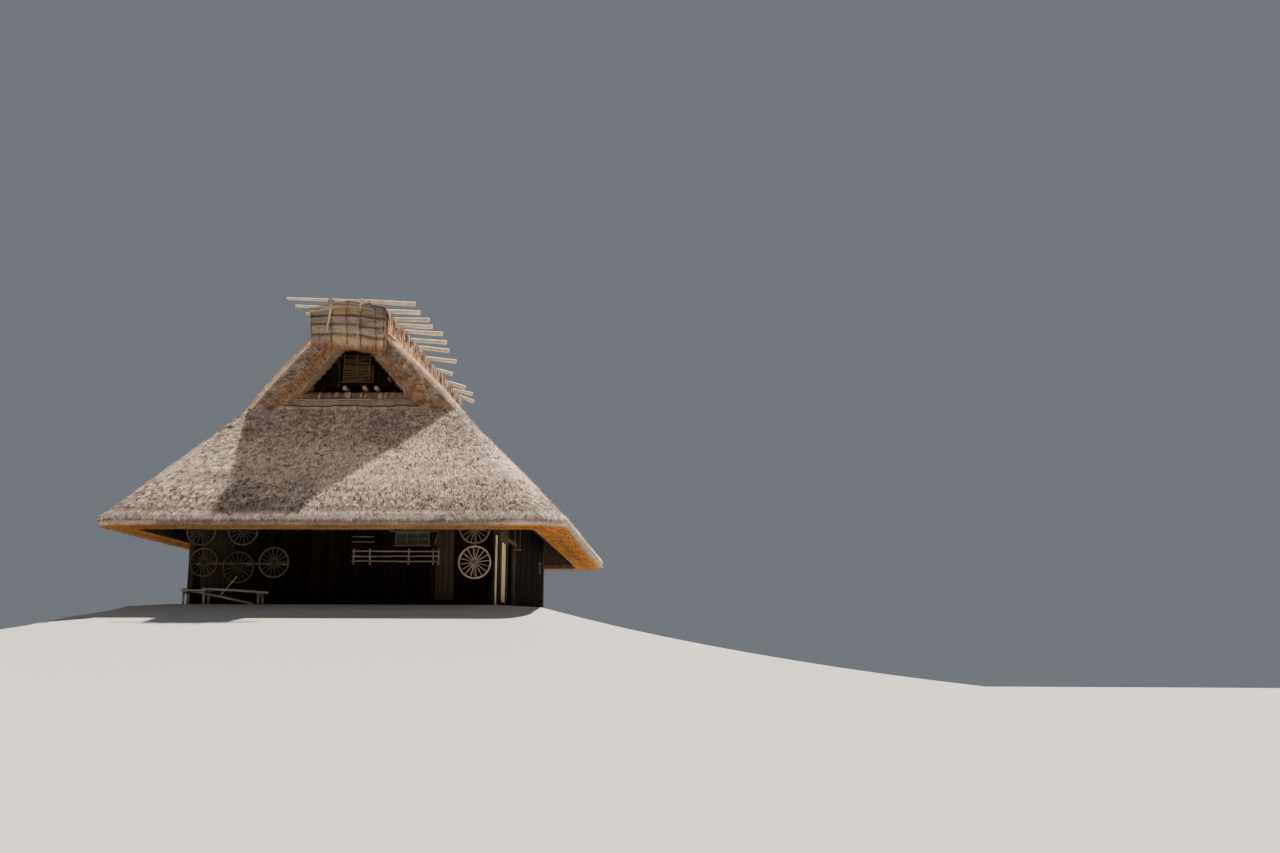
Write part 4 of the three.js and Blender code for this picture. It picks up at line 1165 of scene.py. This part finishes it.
def gable_boards():
    stack = Stack()
    for left, right in zip(GABLE_EDGES[:-1], GABLE_EDGES[1:]):
        top = min(9.08, 9.425 - max(abs(left), abs(right)))
        middle, width = (left + right) / 2, right - left - rng.uniform(0.006, 0.014)
        spans = [(7.72, top)] if abs(middle) > 0.5 else [(7.72, 7.935), (8.895, top)]
        for low, high in spans:
            if high - low > 0.04:
                y = -6.312 - rng.uniform(0, 0.01)
                # near-black boards: painted shade of the gable's recess
                tint = np.array((0.009, 0.0065, 0.005)) * rng.uniform(0.7, 1.4)
                upright_bar(stack, middle, y, low, high, width, 0.026, tint, rings=6, wobble=0.002)
    # near-black rails and post: painted shade of the recess too
    for z in (7.80, 8.45, 9.0):
        half = min(1.6, 9.42 - z - 0.08)
        level_bar(stack, -half, half, -6.285, z, 0.07, 0.03, (0.022, 0.017, 0.014), FACING, rings=8)
    upright_bar(stack, -0.62, -6.36, 7.72, 8.78, 0.10, 0.08, (0.024, 0.018, 0.013), rings=7)
    foot, head = (0.576, -6.36, 7.87), (0.578, -6.36, 8.5)
    bar(stack, foot, head, FACING, 0.05, 0.06, (0.085, 0.062, 0.045), rings=7)
    level_bar(stack, -0.56, 0.56, -6.35, 7.90, 0.06, 0.06, (0.075, 0.052, 0.038), FACING, rings=7)
    stick = [(-0.63, -6.42, 8.4), (-0.655, -6.42, 8.6), (-0.675, -6.42, 8.8), (-0.70, -6.42, 9.0)]
    pole(stack, stick, 0.019, (0.06, 0.045, 0.034), sides=8)
    return stack


SCREEN_LOW, SCREEN_HIGH, REEDS = 7.965, 8.885, 23


def screen_pole(stack, x, y, radius, tint, points, **more):
    path = [[x + rng.normal(0, 0.002), y, z] for z in np.linspace(7.945, SCREEN_HIGH, points)]
    pole(stack, path, radius, tint, **more)


def reed_screen():
    """Level reeds, darker towards the top as painted shade under the overhang, between upright poles."""
    stack = Stack()
    for k in range(REEDS):
        z = SCREEN_LOW + (SCREEN_HIGH - SCREEN_LOW) * k / (REEDS - 1) + rng.normal(0, 0.006)
        lean = rng.normal(0, 0.012)
        path = []
        for s in np.linspace(-1, 1, 9):
            x, y = 0.475 * s + rng.normal(0, 0.002), -6.322 + rng.normal(0, 0.004)
            path.append([x, y, z + lean * s + 0.006 * math.sin(3 * s + k)])
        # darker towards the top: painted shade under the overhang
        shade = mix((0.16, 0.115, 0.065), (0.032, 0.022, 0.012), k / (REEDS - 1)) * rng.uniform(0.5, 1.4)
        pole(stack, path, rng.uniform(0.013, 0.021), shade, sides=7, lump=0.12)
    for x in (-0.465, -0.02, 0.02, 0.465):
        wide = 0.012 if abs(x) < 0.1 else 0.02
        screen_pole(stack, x, -6.352, wide, (0.13, 0.09, 0.055), 12, sides=7, lump=0.1)
    for x in (-0.3, 0.24):
        screen_pole(stack, x, -6.293, 0.016, (0.08, 0.055, 0.035), 8, sides=6)
    return stack


# The pale ends of a loft pole: places out from the middle and how far the end droops, then the radii
LOFT_END = ((6.30, 0.0), (6.42, 0.0), (6.55, 0.004), (6.64, 0.012), (6.69, 0.02))
LOFT_END_RADII = (0.086, 0.0885, 0.088, 0.084, 0.078)
LOFT_BEAM_Y = 5.3 - 0.14 - 0.0006 - 0.08


def loft_beams():
    stack = Stack()
    for x in (-0.34, 0.36, 0.78):
        wave = rng.uniform(0, 6)
        path = []
        for y in np.linspace(-6.45, 6.45, 22):
            path.append([x + 0.012 * math.sin(y + wave), y, 7.62 + 0.008 * math.sin(1.7 * y + wave)])
        pole(stack, path, 0.088, (0.11, 0.075, 0.05), sides=12, lump=0.05)
        for sign in (-1, 1):
            end_x = x + 0.012 * math.sin(sign * 6.45 + wave)
            ends = [[end_x, sign * y, 7.622 - lower * 0.3] for y, lower in LOFT_END]
            pole(stack, ends, LOFT_END_RADII, (0.19, 0.15, 0.12), sides=14, lump=0.05,
                 end_tint=(0.25, 0.205, 0.17))
    for sign in (-1, 1):
        y = sign * LOFT_BEAM_Y
        level_bar(stack, -1.845, 1.845, y, 7.44, 0.155, 0.215, (0.14, 0.10, 0.07), rings=9, wobble=0.003)
        path = [(-1.22 * sign, sign * y, 7.93) for y in (6.31, 6.45, 6.6, 6.75)]
        pole(stack, path, 0.045, (0.20, 0.16, 0.12), sides=10, end_tint=(0.14, 0.12, 0.10))
    return stack


build_pair(hip_roll(), "hip_roll_*", straw_look, "bark", "hip_cap_*")
build_pair(gable_boards(), "gable_boards_*", wood_look, "dark_wood", "gable_wall_*")
build_pair(reed_screen(), "reeds_*", wood_look, "reed", "gable_screen_*")
loft_beams().build("loft_beams", wood_look, "smoked_wood", ["loft_poles"])


# Walls
# Near-black boards: dark wood with painted shade of the walls under the eaves
DARK_BOARD_PAINTED_SHADE = np.array((0.008, 0.0058, 0.0044))
BOARD_TOP = PLATE_BOTTOM - 0.004
HALF_X, HALF_Y = WALL_X - 0.2, WALL_Y - 0.2
WINDOW_LEFT, WINDOW_LOW, WINDOW_WIDE, WINDOW_HIGH = 1.76, 2.04, 1.19, 0.46
LEFT_WINDOW, RIGHT_WINDOW = -1.2, 5.2
DOOR_FRONT, DOOR_BACK, DOOR_TOP = -4.85, -2.90, 2.40


def placed(stack, side, start):
    """A stack drawn in a wall's own plane, x along it and y into it, put on that side of the house."""
    angle, offset = {
        "front": (0.0, (start, -WALL_Y, 0)),
        "right": (math.pi / 2, (WALL_X, start, 0)),
        "back": (math.pi, (-start, WALL_Y, 0)),
        "left": (-math.pi / 2, (-WALL_X, -start, 0)),
    }[side]
    other = stack.turned(angle)
    other.points = [p + np.array(offset) for p in other.points]
    return other


def board_edges(length, holes):
    """Left and right edge of each board; a joint lies at both sides of every hole."""
    cuts = {0.0, length}
    for x, _, width, _ in holes:
        cuts.update((x, x + width))
    cuts = sorted(cuts)
    edges = []
    for a, b in zip(cuts[:-1], cuts[1:]):
        number = max(1, round((b - a) / 0.225))
        inner = np.linspace(a, b, number + 1)
        inner[1:-1] += rng.uniform(-0.04, 0.04, number - 1)
        edges += list(zip(inner[:-1], inner[1:]))
    return edges


def double_board(stack, left, right, bottom, top, tone):
    """A board on the outer face, and one on the inner face behind it."""
    middle = (left + right) / 2
    depth = 0.034 + rng.uniform(-0.006, 0.006)
    wide = right - left - rng.uniform(0.004, 0.012)
    rings = max(3, int((top - bottom) / 0.3))
    upright_bar(stack, middle, depth, bottom, top, wide, 0.026, tone, rings=rings, wobble=0.0025, bevel=0.2)
    inside = DARK_BOARD_PAINTED_SHADE * rng.uniform(0.7, 1.3)
    foot, head = (middle, 0.128, bottom), (middle, 0.128, top)
    bar(stack, foot, head, (0, 1, 0), wide - 0.002, 0.02, inside, rings=3, wobble=0.001)


def wall_boards(stack, length, low, holes, special):
    for left, right in board_edges(length, holes):
        middle = (left + right) / 2
        spans = [(low, BOARD_TOP)]
        for x, z, width, height in holes:
            if x < middle < x + width:
                spans = [(low, z), (z + height, BOARD_TOP)]
        tone = DARK_BOARD_PAINTED_SHADE * rng.uniform(0.6, 1.5) * (1 + rng.normal(0, 0.05, 3))
        for x, width, colour in special:
            if x < middle < x + width:
                tone = np.asarray(colour) * rng.uniform(0.85, 1.15)
        for bottom, top in spans:
            if top - bottom >= 0.03:
                double_board(stack, left, right, bottom, top, tone)


def wall_rails(stack, length, low, holes):
    """Level rails between the boards, cut where a hole is in their way, and a sill at the foot."""
    for z in (0.75, 1.55, 2.60, 3.3):
        pieces = [(0.02, length - 0.02)]
        for x, bottom, width, height in holes:
            if bottom - 0.06 < z < bottom + height + 0.06:
                pieces = [(0.02, x - 0.02), (x + width + 0.02, length - 0.02)]
        for a, b in pieces:
            if z > low and b - a > 0.1:
                level_bar(stack, a, b, 0.082, z, 0.062, 0.11, DARK_BOARD_PAINTED_SHADE * 1.1, rings=6, wobble=0.002)
    if low < 0.5:
        sill = DARK_BOARD_PAINTED_SHADE * 1.5
        level_bar(stack, 0.001, length - 0.001, 0.09, 0.11, 0.176, 0.218, sill, rings=24, wobble=0.002)


def slim_posts(stack, length, low, holes):
    number = max(1, round(length / 1.9))
    foot, head = max(low, 0.22), PLATE_BOTTOM - 0.003
    for k in range(1, number):
        x = length * k / number
        if all(not (left - 0.1 < x < left + width + 0.1) for left, _, width, _ in holes):
            tint = DARK_BOARD_PAINTED_SHADE * rng.uniform(1.3, 1.9)
            upright_bar(stack, x, 0.045, foot, head, 0.125, 0.084, tint, rings=12, wobble=0.003)


def build_wall(name, node, side, start, stop, low=0.2, window=None, special=(), posts=True):
    """A board wall between two places on a side of the house. The window is the place where its
    hole starts; special boards are given as place, width and colour."""
    length = stop - start
    holes = [] if window is None else [(window - start, WINDOW_LOW, WINDOW_WIDE, WINDOW_HIGH)]
    stack = Stack()
    wall_boards(stack, length, low, holes, special)
    wall_rails(stack, length, low, holes)
    if posts:
        slim_posts(stack, length, low, holes)
    placed(stack, side, start).build(name, wood_look, "dark_wood", [node])


def door_frame():
    stack = Stack()
    wide = DOOR_BACK - DOOR_FRONT
    for x in (-0.055, wide + 0.055):
        upright_bar(stack, x, 0.075, 0.22, 3.0, 0.11, 0.16, (0.10, 0.078, 0.06), rings=10)
    level_bar(stack, -0.1, wide + 0.4, 0.006, DOOR_TOP + 0.075, 0.05, 0.14, (0.09, 0.07, 0.055), rings=12)
    level_bar(stack, -2.25, -0.08, -0.006, 2.49, 0.05, 0.48, (0.085, 0.058, 0.042), rings=12)
    return stack


FRONT_BOARDS = (
    (WINDOW_LEFT + HALF_X + 1.36, 0.62, (0.055, 0.042, 0.033)),
    (0.2, 1.2, (0.032, 0.025, 0.02)),
)
DOOR_BOARDS = (
    (0.0, 0.45, (0.010, 0.008, 0.007)),
    (0.45, 0.4, (0.11, 0.065, 0.045)),
    (0.95, 0.75, (0.82, 0.65, 0.42)),
)
build_wall("boards_front", "front_wall", "front", -HALF_X, HALF_X, window=WINDOW_LEFT, special=FRONT_BOARDS)
build_wall("boards_back", "back_wall", "back", -HALF_X, HALF_X, window=WINDOW_LEFT)
build_wall("boards_left", "left_wall", "left", -HALF_Y, HALF_Y, window=LEFT_WINDOW)
build_wall("boards_right_back", "right_wall_back", "right", DOOR_BACK, HALF_Y, window=RIGHT_WINDOW)
build_wall("boards_right_front", "right_wall_front", "right", -HALF_Y, DOOR_FRONT, special=DOOR_BOARDS,
           posts=False)
build_wall("boards_over_door", "right_wall_over_door", "right", DOOR_FRONT, DOOR_BACK, low=DOOR_TOP,
           posts=False)
placed(door_frame(), "right", DOOR_FRONT).build("door_frame", wood_look, "old_wood")

CORNER_TINTS = {
    "front_left": (0.05, 0.04, 0.033),
    "front_right": (0.042, 0.033, 0.027),
    "back_left": (0.07, 0.055, 0.045),
    "back_right": (0.08, 0.063, 0.05),
}


def corner_post(name, tint):
    stack = Stack()
    x = -WALL_X + 0.1 if "left" in name else WALL_X - 0.1
    y = -WALL_Y + 0.1 if "front" in name else WALL_Y - 0.1
    top = PLATE_BOTTOM - 0.002
    upright_bar(stack, x, y, 0.0, top, 0.198, 0.198, tint, rings=16, wobble=0.0008, bevel=0.12)
    stack.build(f"post_{name}", wood_look, "old_wood", [f"corner_post_{name}"])


for name, tint in CORNER_TINTS.items():
    corner_post(name, tint)


def window_shelf(stack, wide, high):
    """The shelf rail over a window, its bracket, and the rail under the window."""
    level_bar(stack, -0.18, wide + 0.30, -0.015, high + 0.03, 0.07, 0.045, (0.13, 0.11, 0.085), rings=9,
              wobble=0.003)
    foot, head = (wide + 0.16, -0.005, 0.02), (wide + 0.30, -0.005, high + 0.01)
    bar(stack, foot, head, FACING, 0.05, 0.03, (0.12, 0.095, 0.075), rings=5)
    left, right = (-0.05, -0.01, 0.0), (wide + 0.05, -0.01, -0.01)
    bar(stack, left, right, UP, 0.06, 0.04, (0.12, 0.10, 0.078), rings=8)


def lattice_window(shelf):
    """A 3 by 2 lattice with a frame, a dark sheet behind it that is painted shade of the room within, and
    perhaps a shelf rail over it.
    """
    stack = Stack()
    wide, high = WINDOW_WIDE, WINDOW_HIGH
    pale = (0.13, 0.11, 0.083)
    for x in (0.026, wide - 0.026):
        upright_bar(stack, x, 0.045, 0.002, high - 0.002, 0.05, 0.085, pale, rings=6, wobble=0.001)
    for z in (0.026, high - 0.026):
        level_bar(stack, 0.05, wide - 0.05, 0.045, z, 0.08, 0.05, pale, rings=8, wobble=0.001)
    for k in (1, 2):
        upright_bar(stack, wide * k / 3, 0.04, 0.05, high - 0.05, 0.034, 0.04, pale, rings=5, wobble=0.001)
    level_bar(stack, 0.05, wide - 0.05, 0.044, high / 2, 0.03, 0.03, pale, rings=8, wobble=0.001)
    x, z = np.meshgrid(np.linspace(0.03, wide - 0.03, 14), np.linspace(0.03, high - 0.03, 8))
    # the dark sheet behind the lattice: painted shade of the room within
    for depth, flip in ((0.078, False), (0.09, True)):
        y = np.full_like(x, depth) + rng.normal(0, 0.0008, x.shape)
        stack.sheet(sheet_grid(x, y, z), (0.055, 0.048, 0.045), flip)
    if shelf:
        window_shelf(stack, wide, high)
    stack.points = [p + np.array([0, 0.025, WINDOW_LOW]) for p in stack.points]
    return stack


WINDOWS = (("front", WINDOW_LEFT), ("right", RIGHT_WINDOW), ("back", WINDOW_LEFT), ("left", LEFT_WINDOW))
for side, start in WINDOWS:
    window = placed(lattice_window(side in ("front", "back")), side, start)
    window.build(f"lattice_{side}_window", wood_look, "old_wood", [f"{side}_window"])


# What hangs on the front wall
WHEEL_DEPTH, WHEEL_RIM, SPOKES, FELLOES = 0.075, 0.058, 16, 8
# The hub's outline, as radii and places out from the wall, and the painted shade of each ring, darkest at the
# centre
HUB = (
    (0.0, 0.145), (0.03, 0.145), (0.034, 0.13), (0.062, 0.13), (0.075, 0.118), (0.078, 0.09), (0.094, 0.07),
    (0.098, 0.045), (0.094, 0.02), (0.088, 0.0), (0.0, 0.0),
)
HUB_PAINTED_SHADE = np.array([0.15, 0.2, 0.4, 0.5, 0.5, 0.35, 0.6, 0.6, 0.5, 0.5, 0.5])


def rim_section(radius):
    """The rim's cut, with worn corners, as radii and places out from the wall."""
    outer, inner, worn, face = radius, radius - WHEEL_RIM, 0.008, WHEEL_DEPTH
    return [
        (outer, 0.006), (outer, face - 0.006), (outer - worn, face), (inner + worn, face),
        (inner, face - worn), (inner, worn), (inner + worn, 0), (outer - worn, 0), (outer, 0.006),
    ]


def wheel_rim(stack, x, z, back, radius, tone):
    """A rim of felloes: dark joints, and each felloe in a tone of its own."""
    section = rim_section(radius)
    turn = np.linspace(0, 2 * math.pi, 97)
    grid = np.zeros((len(section), len(turn), 3))
    joint = np.exp(-((((turn / (2 * math.pi) * FELLOES + 0.3) % 1.0) - 0.5) / 0.03) ** 2)
    for k, (r, out) in enumerate(section):
        size = r * (1 + 0.004 * np.sin(turn * 3 + x)) - 0.003 * joint
        y = np.full(len(turn), back - out)
        grid[k] = np.stack([x + size * np.cos(turn), y, z + size * np.sin(turn)], axis=1)
    tint = np.broadcast_to(tone, grid.shape) * (1 - 0.55 * joint)[None, :, None]
    felloe = np.floor(turn / (2 * math.pi) * FELLOES + 0.8).astype(np.int64)
    own = lattice(felloe + 50, felloe * 0 + 7, felloe * 0 + int(abs(x) * 10), 5)
    tint = tint * (0.85 + 0.3 * own)[None, :, None]
    tint[:2] *= 0.55
    around = sheet_grid(turn * radius, np.arange(len(section))[:, None] * 0.03, 0.0)
    faces = grid_faces(*grid.shape[:2])
    stack.add(grid, faces, tint.reshape(-1, 3), around + rng.uniform(0, 20, 3))


def wheel_spokes(stack, x, z, back, radius, tone):
    y, inner, outer = back - WHEEL_DEPTH / 2, 0.075, radius - WHEEL_RIM + 0.02
    for k in range(SPOKES):
        a = 2 * math.pi * k / SPOKES + 0.13
        c, s = math.cos(a), math.sin(a)
        start, end = (x + inner * c, y, z + inner * s), (x + outer * c, y, z + outer * s)
        bar(stack, start, end, FACING, 0.033, 0.05, tone * 1.05, rings=4, wobble=0.001, taper=0.72, bevel=0.3)


def wheel_hub(stack, x, z, back, tone):
    turn = np.linspace(0, 2 * math.pi, 25)
    hub = np.array([[[x + r * math.cos(a), back - out, z + r * math.sin(a)] for a in turn] for r, out in HUB])
    colour = tone[None, None] * HUB_PAINTED_SHADE[:, None, None] * np.ones((len(HUB), len(turn), 1))
    faces = grid_faces(len(HUB), len(turn), True)
    stack.add(hub, faces, colour.reshape(-1, 3), hub * 1.5 + rng.uniform(0, 20, 3))


def wheel(stack, x, z, back, radius, shade):
    """A cart wheel seen flat: a rim of felloes, tapered spokes and a turned hub."""
    # shade is painted light and shade: it scales the wheel's tone for how lit it is
    tone = np.array((0.30, 0.25, 0.19)) * rng.uniform(0.9, 1.1) * shade
    wheel_rim(stack, x, z, back, radius, tone)
    wheel_spokes(stack, x, z, back, radius, tone)
    wheel_hub(stack, x, z, back, tone)


def hang(name, node, rail, wheels):
    """Wheels on pegs in a rail on the boards: place, height, width across and painted shade of each, which
    scales its tone for the light on it.
    """
    stack = Stack()
    (x1, z1), (x2, z2) = rail
    start, end = (x1, -BOARD_FACE - 0.03, z1), (x2, -BOARD_FACE - 0.03, z2)
    bar(stack, start, end, FACING, 0.08, 0.06, (0.14, 0.11, 0.085), rings=12, wobble=0.002)
    for x, z, size, shade in wheels:
        wheel(stack, x, z, -BOARD_FACE - 0.055, size / 2, shade)
        root, tip = (x, -BOARD_FACE - 0.02, z), (x, -BOARD_FACE - 0.215, z + 0.012)
        bar(stack, root, tip, UP, 0.03, 0.03, (0.09, 0.07, 0.055), rings=3)
    stack.build(name, wood_look, "wheel_wood", [node])


# the last number of each wheel is its painted shade: low for wheels in shade, high for the lit lower one on
# the right
hang("wheels_lower", "wheels_left_lower", ((-5.05, 1.41), (-1.85, 1.41)),
     ((-4.74, 1.45, 1.00, 0.32), (-3.54, 1.285, 1.09, 0.30), (-2.33, 1.45, 1.06, 0.40)))
hang("wheels_upper", "wheels_left_upper", ((-5.09, 2.60), (-2.85, 2.60)),
     ((-4.88, 2.53, 1.04, 0.35), (-3.44, 2.54, 1.05, 0.35)))
hang("wheels_side", "wheels_right", ((4.5, 1.0), (4.5, 3.08)),
     ((4.51, 1.47, 1.13, 1.75), (4.49, 2.62, 1.07, 0.7)))


def rack():
    stack = Stack()
    pale = np.array((0.25, 0.205, 0.16))
    y = -BOARD_FACE - 0.072
    for z, lean in ((1.50, 0.008), (1.67, -0.006), (1.84, 0.004)):
        bar(stack, (0.32, y, z + lean), (3.31, y, z - lean), UP, 0.052, 0.046, pale, rings=18, wobble=0.003)
    y = -BOARD_FACE - 0.025
    for x in (0.37, 0.93, 2.25, 3.09, 3.26):
        head = (x + rng.normal(0, 0.006), y, 1.94)
        bar(stack, (x, y, 1.38), head, FACING, 0.058, 0.05, pale * 0.9, rings=7)
        for z in (1.50, 1.67, 1.84):
            root, tip = (x, -BOARD_FACE - 0.04, z), (x, -BOARD_FACE - 0.108, z)
            bar(stack, root, tip, UP, 0.018, 0.018, (0.08, 0.065, 0.05), rings=2)
    y = -BOARD_FACE - 0.02
    for z in (2.16, 2.33):
        bar(stack, (0.30, y, z), (1.05, y, z + 0.004), UP, 0.04, 0.035, pale * 0.75, rings=7)
    return stack


STAND_BACK = -WALL_Y - 0.0003
STAND_GREY = np.array((0.30, 0.27, 0.23))


def stand(stack):
    """Boards of a low stand on four legs, and a rest with two legs further right."""
    back = STAND_BACK
    for k in range(4):
        y = back - 0.01 - 0.163 * (k + 0.5)
        tint = STAND_GREY * rng.uniform(0.8, 1.2)
        level_bar(stack, -5.28, -4.40, y, 0.476, 0.155, 0.046, tint, rings=7, wobble=0.002)
    for x, high in ((-5.185, 0.455), (-4.495, 0.455), (-2.65, 0.34)):
        for y in (back - 0.575, back - 0.095):
            upright_bar(stack, x, y, 0.0, high, 0.068, 0.068, STAND_GREY, rings=5, wobble=0.002)
        near, far = (x, back - 0.02, high - 0.05), (x, back - 0.65, high - 0.05)
        bar(stack, near, far, UP, 0.05, 0.05, STAND_GREY * 0.8, rings=5)
    near, far = (-2.65, back - 0.01, 0.36), (-2.65, back - 0.66, 0.36)
    bar(stack, near, far, UP, 0.078, 0.058, STAND_GREY, rings=6)


def shafts():
    """The stand, the two long shafts that lie on it, and a slanting stick."""
    stack = Stack()
    stand(stack)
    back = STAND_BACK
    for start, stop in (
        ((-4.63, -0.43, 0.535), (-2.38, -0.37, 0.415)), ((-5.35, -0.20, 0.535), (-2.95, -0.20, 0.05)),
    ):
        a, b = np.array(start) + [0, back, 0], np.array(stop) + [0, back, 0]
        steps = np.linspace(0, 1, 12)
        path = [a + (b - a) * s + np.array([0, 0, 0.012 * math.sin(math.pi * s)]) for s in steps]
        pole(stack, path, np.linspace(0.044, 0.038, 12), (0.38, 0.34, 0.29), sides=10, lump=0.06)
    head, foot = np.array((-3.50, back - 0.30, 0.96)), np.array((-4.02, back - 0.28, 0.34))
    stick = [head * (1 - s) + foot * s for s in np.linspace(0, 1, 7)]
    pole(stack, stick, 0.024, (0.33, 0.28, 0.22), sides=8)
    return stack


rack().build("rack", wood_look, "old_wood", ["wall_rack"])
shafts().build("shafts", wood_look, "old_wood", ["shaft_stand"])


# Under the eaves
def inner_face(out, over_side):
    """Height of the thatch's inner face this far out from a side wall, or from an end wall."""
    return 3.941 - (out - 0.2) * 1.336 if over_side else 3.941 - out * 1.137


def eave_poles(over_side):
    """Poles that carry the straw, on its inner face, with thin battens across them."""
    stack = Stack()
    half, face = (WALL_Y, WALL_X) if over_side else (WALL_X, WALL_Y)
    low_out, top_out = 1.25, 0.42
    for k in np.arange(-half + 0.35, half, 0.92):
        outs = [low_out + (top_out - low_out) * s for s in np.linspace(0, 1, 6)]
        path = [[face + out, k, inner_face(out, over_side) - 0.07] for out in outs]
        pole(stack, path, 0.045, (0.06, 0.04, 0.028), sides=8, lump=0.08)
    for out in (0.45, 0.75, 1.05):
        level = inner_face(out, over_side) - 0.135
        reach = half + out - 0.05
        places = np.linspace(-reach, reach, 30)
        path = [[face + out, y, level + 0.006 * math.sin(y * 2 + out)] for y in places]
        pole(stack, path, 0.02, (0.08, 0.06, 0.042), sides=6, lump=0.1)
    return stack


side_poles = eave_poles(True)
end_poles = eave_poles(False)
side_poles.turned(0.0).build("eave_poles_right", wood_look, "smoked_wood")
side_poles.turned(math.pi).build("eave_poles_left", wood_look, "smoked_wood")
end_poles.turned(-math.pi / 2).build("eave_poles_front", wood_look, "smoked_wood")
end_poles.turned(math.pi / 2).build("eave_poles_back", wood_look, "smoked_wood")


def hanging_bar():
    """A short bar that hangs on two cords under the eave."""
    stack = Stack()
    for x, y in ((5.64, -5.55), (5.80, -5.45)):
        pole(stack, [[x, y, z] for z in (3.42, 2.9, 2.3, 2.06)], 0.011, (0.15, 0.125, 0.095), sides=6)
    path = [[5.61, -5.57, 2.05], [5.72, -5.50, 2.05], [5.84, -5.43, 2.05]]
    pole(stack, path, 0.022, (0.22, 0.185, 0.14), sides=8)
    return stack


# A pale pole at the front right corner; its pale colour is a painted highlight of the corner post's lit edge
def highlight_pole():
    stack = Stack()
    path = [[5.235, -7.33, z] for z in (0.02, 0.6, 1.2, 1.8, 2.38)]
    pole(stack, path, 0.034, (0.70, 0.61, 0.48), sides=9)
    return stack


hanging_bar().build("hanging_bar", wood_look, "old_wood")
highlight_pole().build("highlight_pole", wood_look, "old_wood")

# Timber kept from the solids
for name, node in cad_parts.items():
    if name.startswith(("rafter", "tie_beam", "ridge_pole", "wall_plate")):
        node.data.materials.clear()
        node.data.materials.append(frame_wood_look)


# Ground, light and camera
PAD_X, PAD_Y = 6.6, 8.6


def link(thing):
    bpy.context.scene.collection.objects.link(thing)


def pale_ground():
    look = bpy.data.materials.new("pale_ground")
    look.use_nodes = True
    inputs = look.node_tree.nodes["Principled BSDF"].inputs
    inputs["Base Color"].default_value = (0.50, 0.49, 0.47, 1)
    inputs["Roughness"].default_value = 1.0
    return look


def make_ground():
    """Level under the house, then falling away on every side."""
    x = np.concatenate([np.linspace(-260, -60, 12), np.linspace(-55, 55, 81), np.linspace(60, 260, 12)])
    grid_x, grid_y = np.meshgrid(x, x, indexing="ij")
    dx = np.maximum(np.abs(grid_x) - PAD_X, 0)
    dy = np.maximum(np.abs(grid_y) - PAD_Y, 0)
    height = -4.3 * (1 - np.exp(-np.hypot(dx, dy) / 16.0)) - 0.004
    points = np.stack([grid_x.ravel(), grid_y.ravel(), height.ravel()], axis=1)
    mesh = bpy.data.meshes.new("ground")
    mesh.from_pydata(points.tolist(), [], grid_faces(len(x), len(x), True).tolist())
    mesh.polygons.foreach_set("use_smooth", np.ones(len(mesh.polygons), bool))
    mesh.materials.append(pale_ground())
    ground = bpy.data.objects.new("ground", mesh)
    link(ground)


def make_light():
    """A warm sun, high up at the right and the back, and a soft sky."""
    sun = bpy.data.objects.new("sun", bpy.data.lights.new("sun", "SUN"))
    sun.data.energy = 10.9
    sun.data.angle = math.radians(1.5)
    sun.data.color = (1.0, 0.91, 0.80)
    sun.rotation_euler = Vector((0.31, 0.30, 0.902)).to_track_quat("Z", "Y").to_euler()
    link(sun)
    world = bpy.data.worlds.new("soft_sky")
    world.use_nodes = True
    sky = world.node_tree.nodes["Background"].inputs
    sky["Color"].default_value = (0.80, 0.86, 0.98, 1)
    sky["Strength"].default_value = 0.215
    bpy.context.scene.world = world


def make_camera():
    """The photo's camera, as fitted to the house."""
    camera = bpy.data.objects.new("camera", bpy.data.cameras.new("camera"))
    yaw, pitch, roll = -0.039, 0.176, 0.005
    level = math.cos(pitch)
    forward = Vector((math.sin(yaw) * level, math.cos(yaw) * level, math.sin(pitch)))
    right = Vector((math.cos(yaw), -math.sin(yaw), 0))
    above = right.cross(forward)
    level_right = right * math.cos(roll) + above * math.sin(roll)
    level_up = above * math.cos(roll) - right * math.sin(roll)
    turn = Matrix((level_right, level_up, -forward)).transposed().to_4x4()
    camera.matrix_world = Matrix.Translation((11.9, -54.35, -2.26)) @ turn
    camera.data.sensor_width = 36.0
    camera.data.lens = 36.0 * 1400 / 1280
    camera.data.clip_end = 1000
    link(camera)
    bpy.context.scene.camera = camera


make_ground()
make_light()
make_camera()
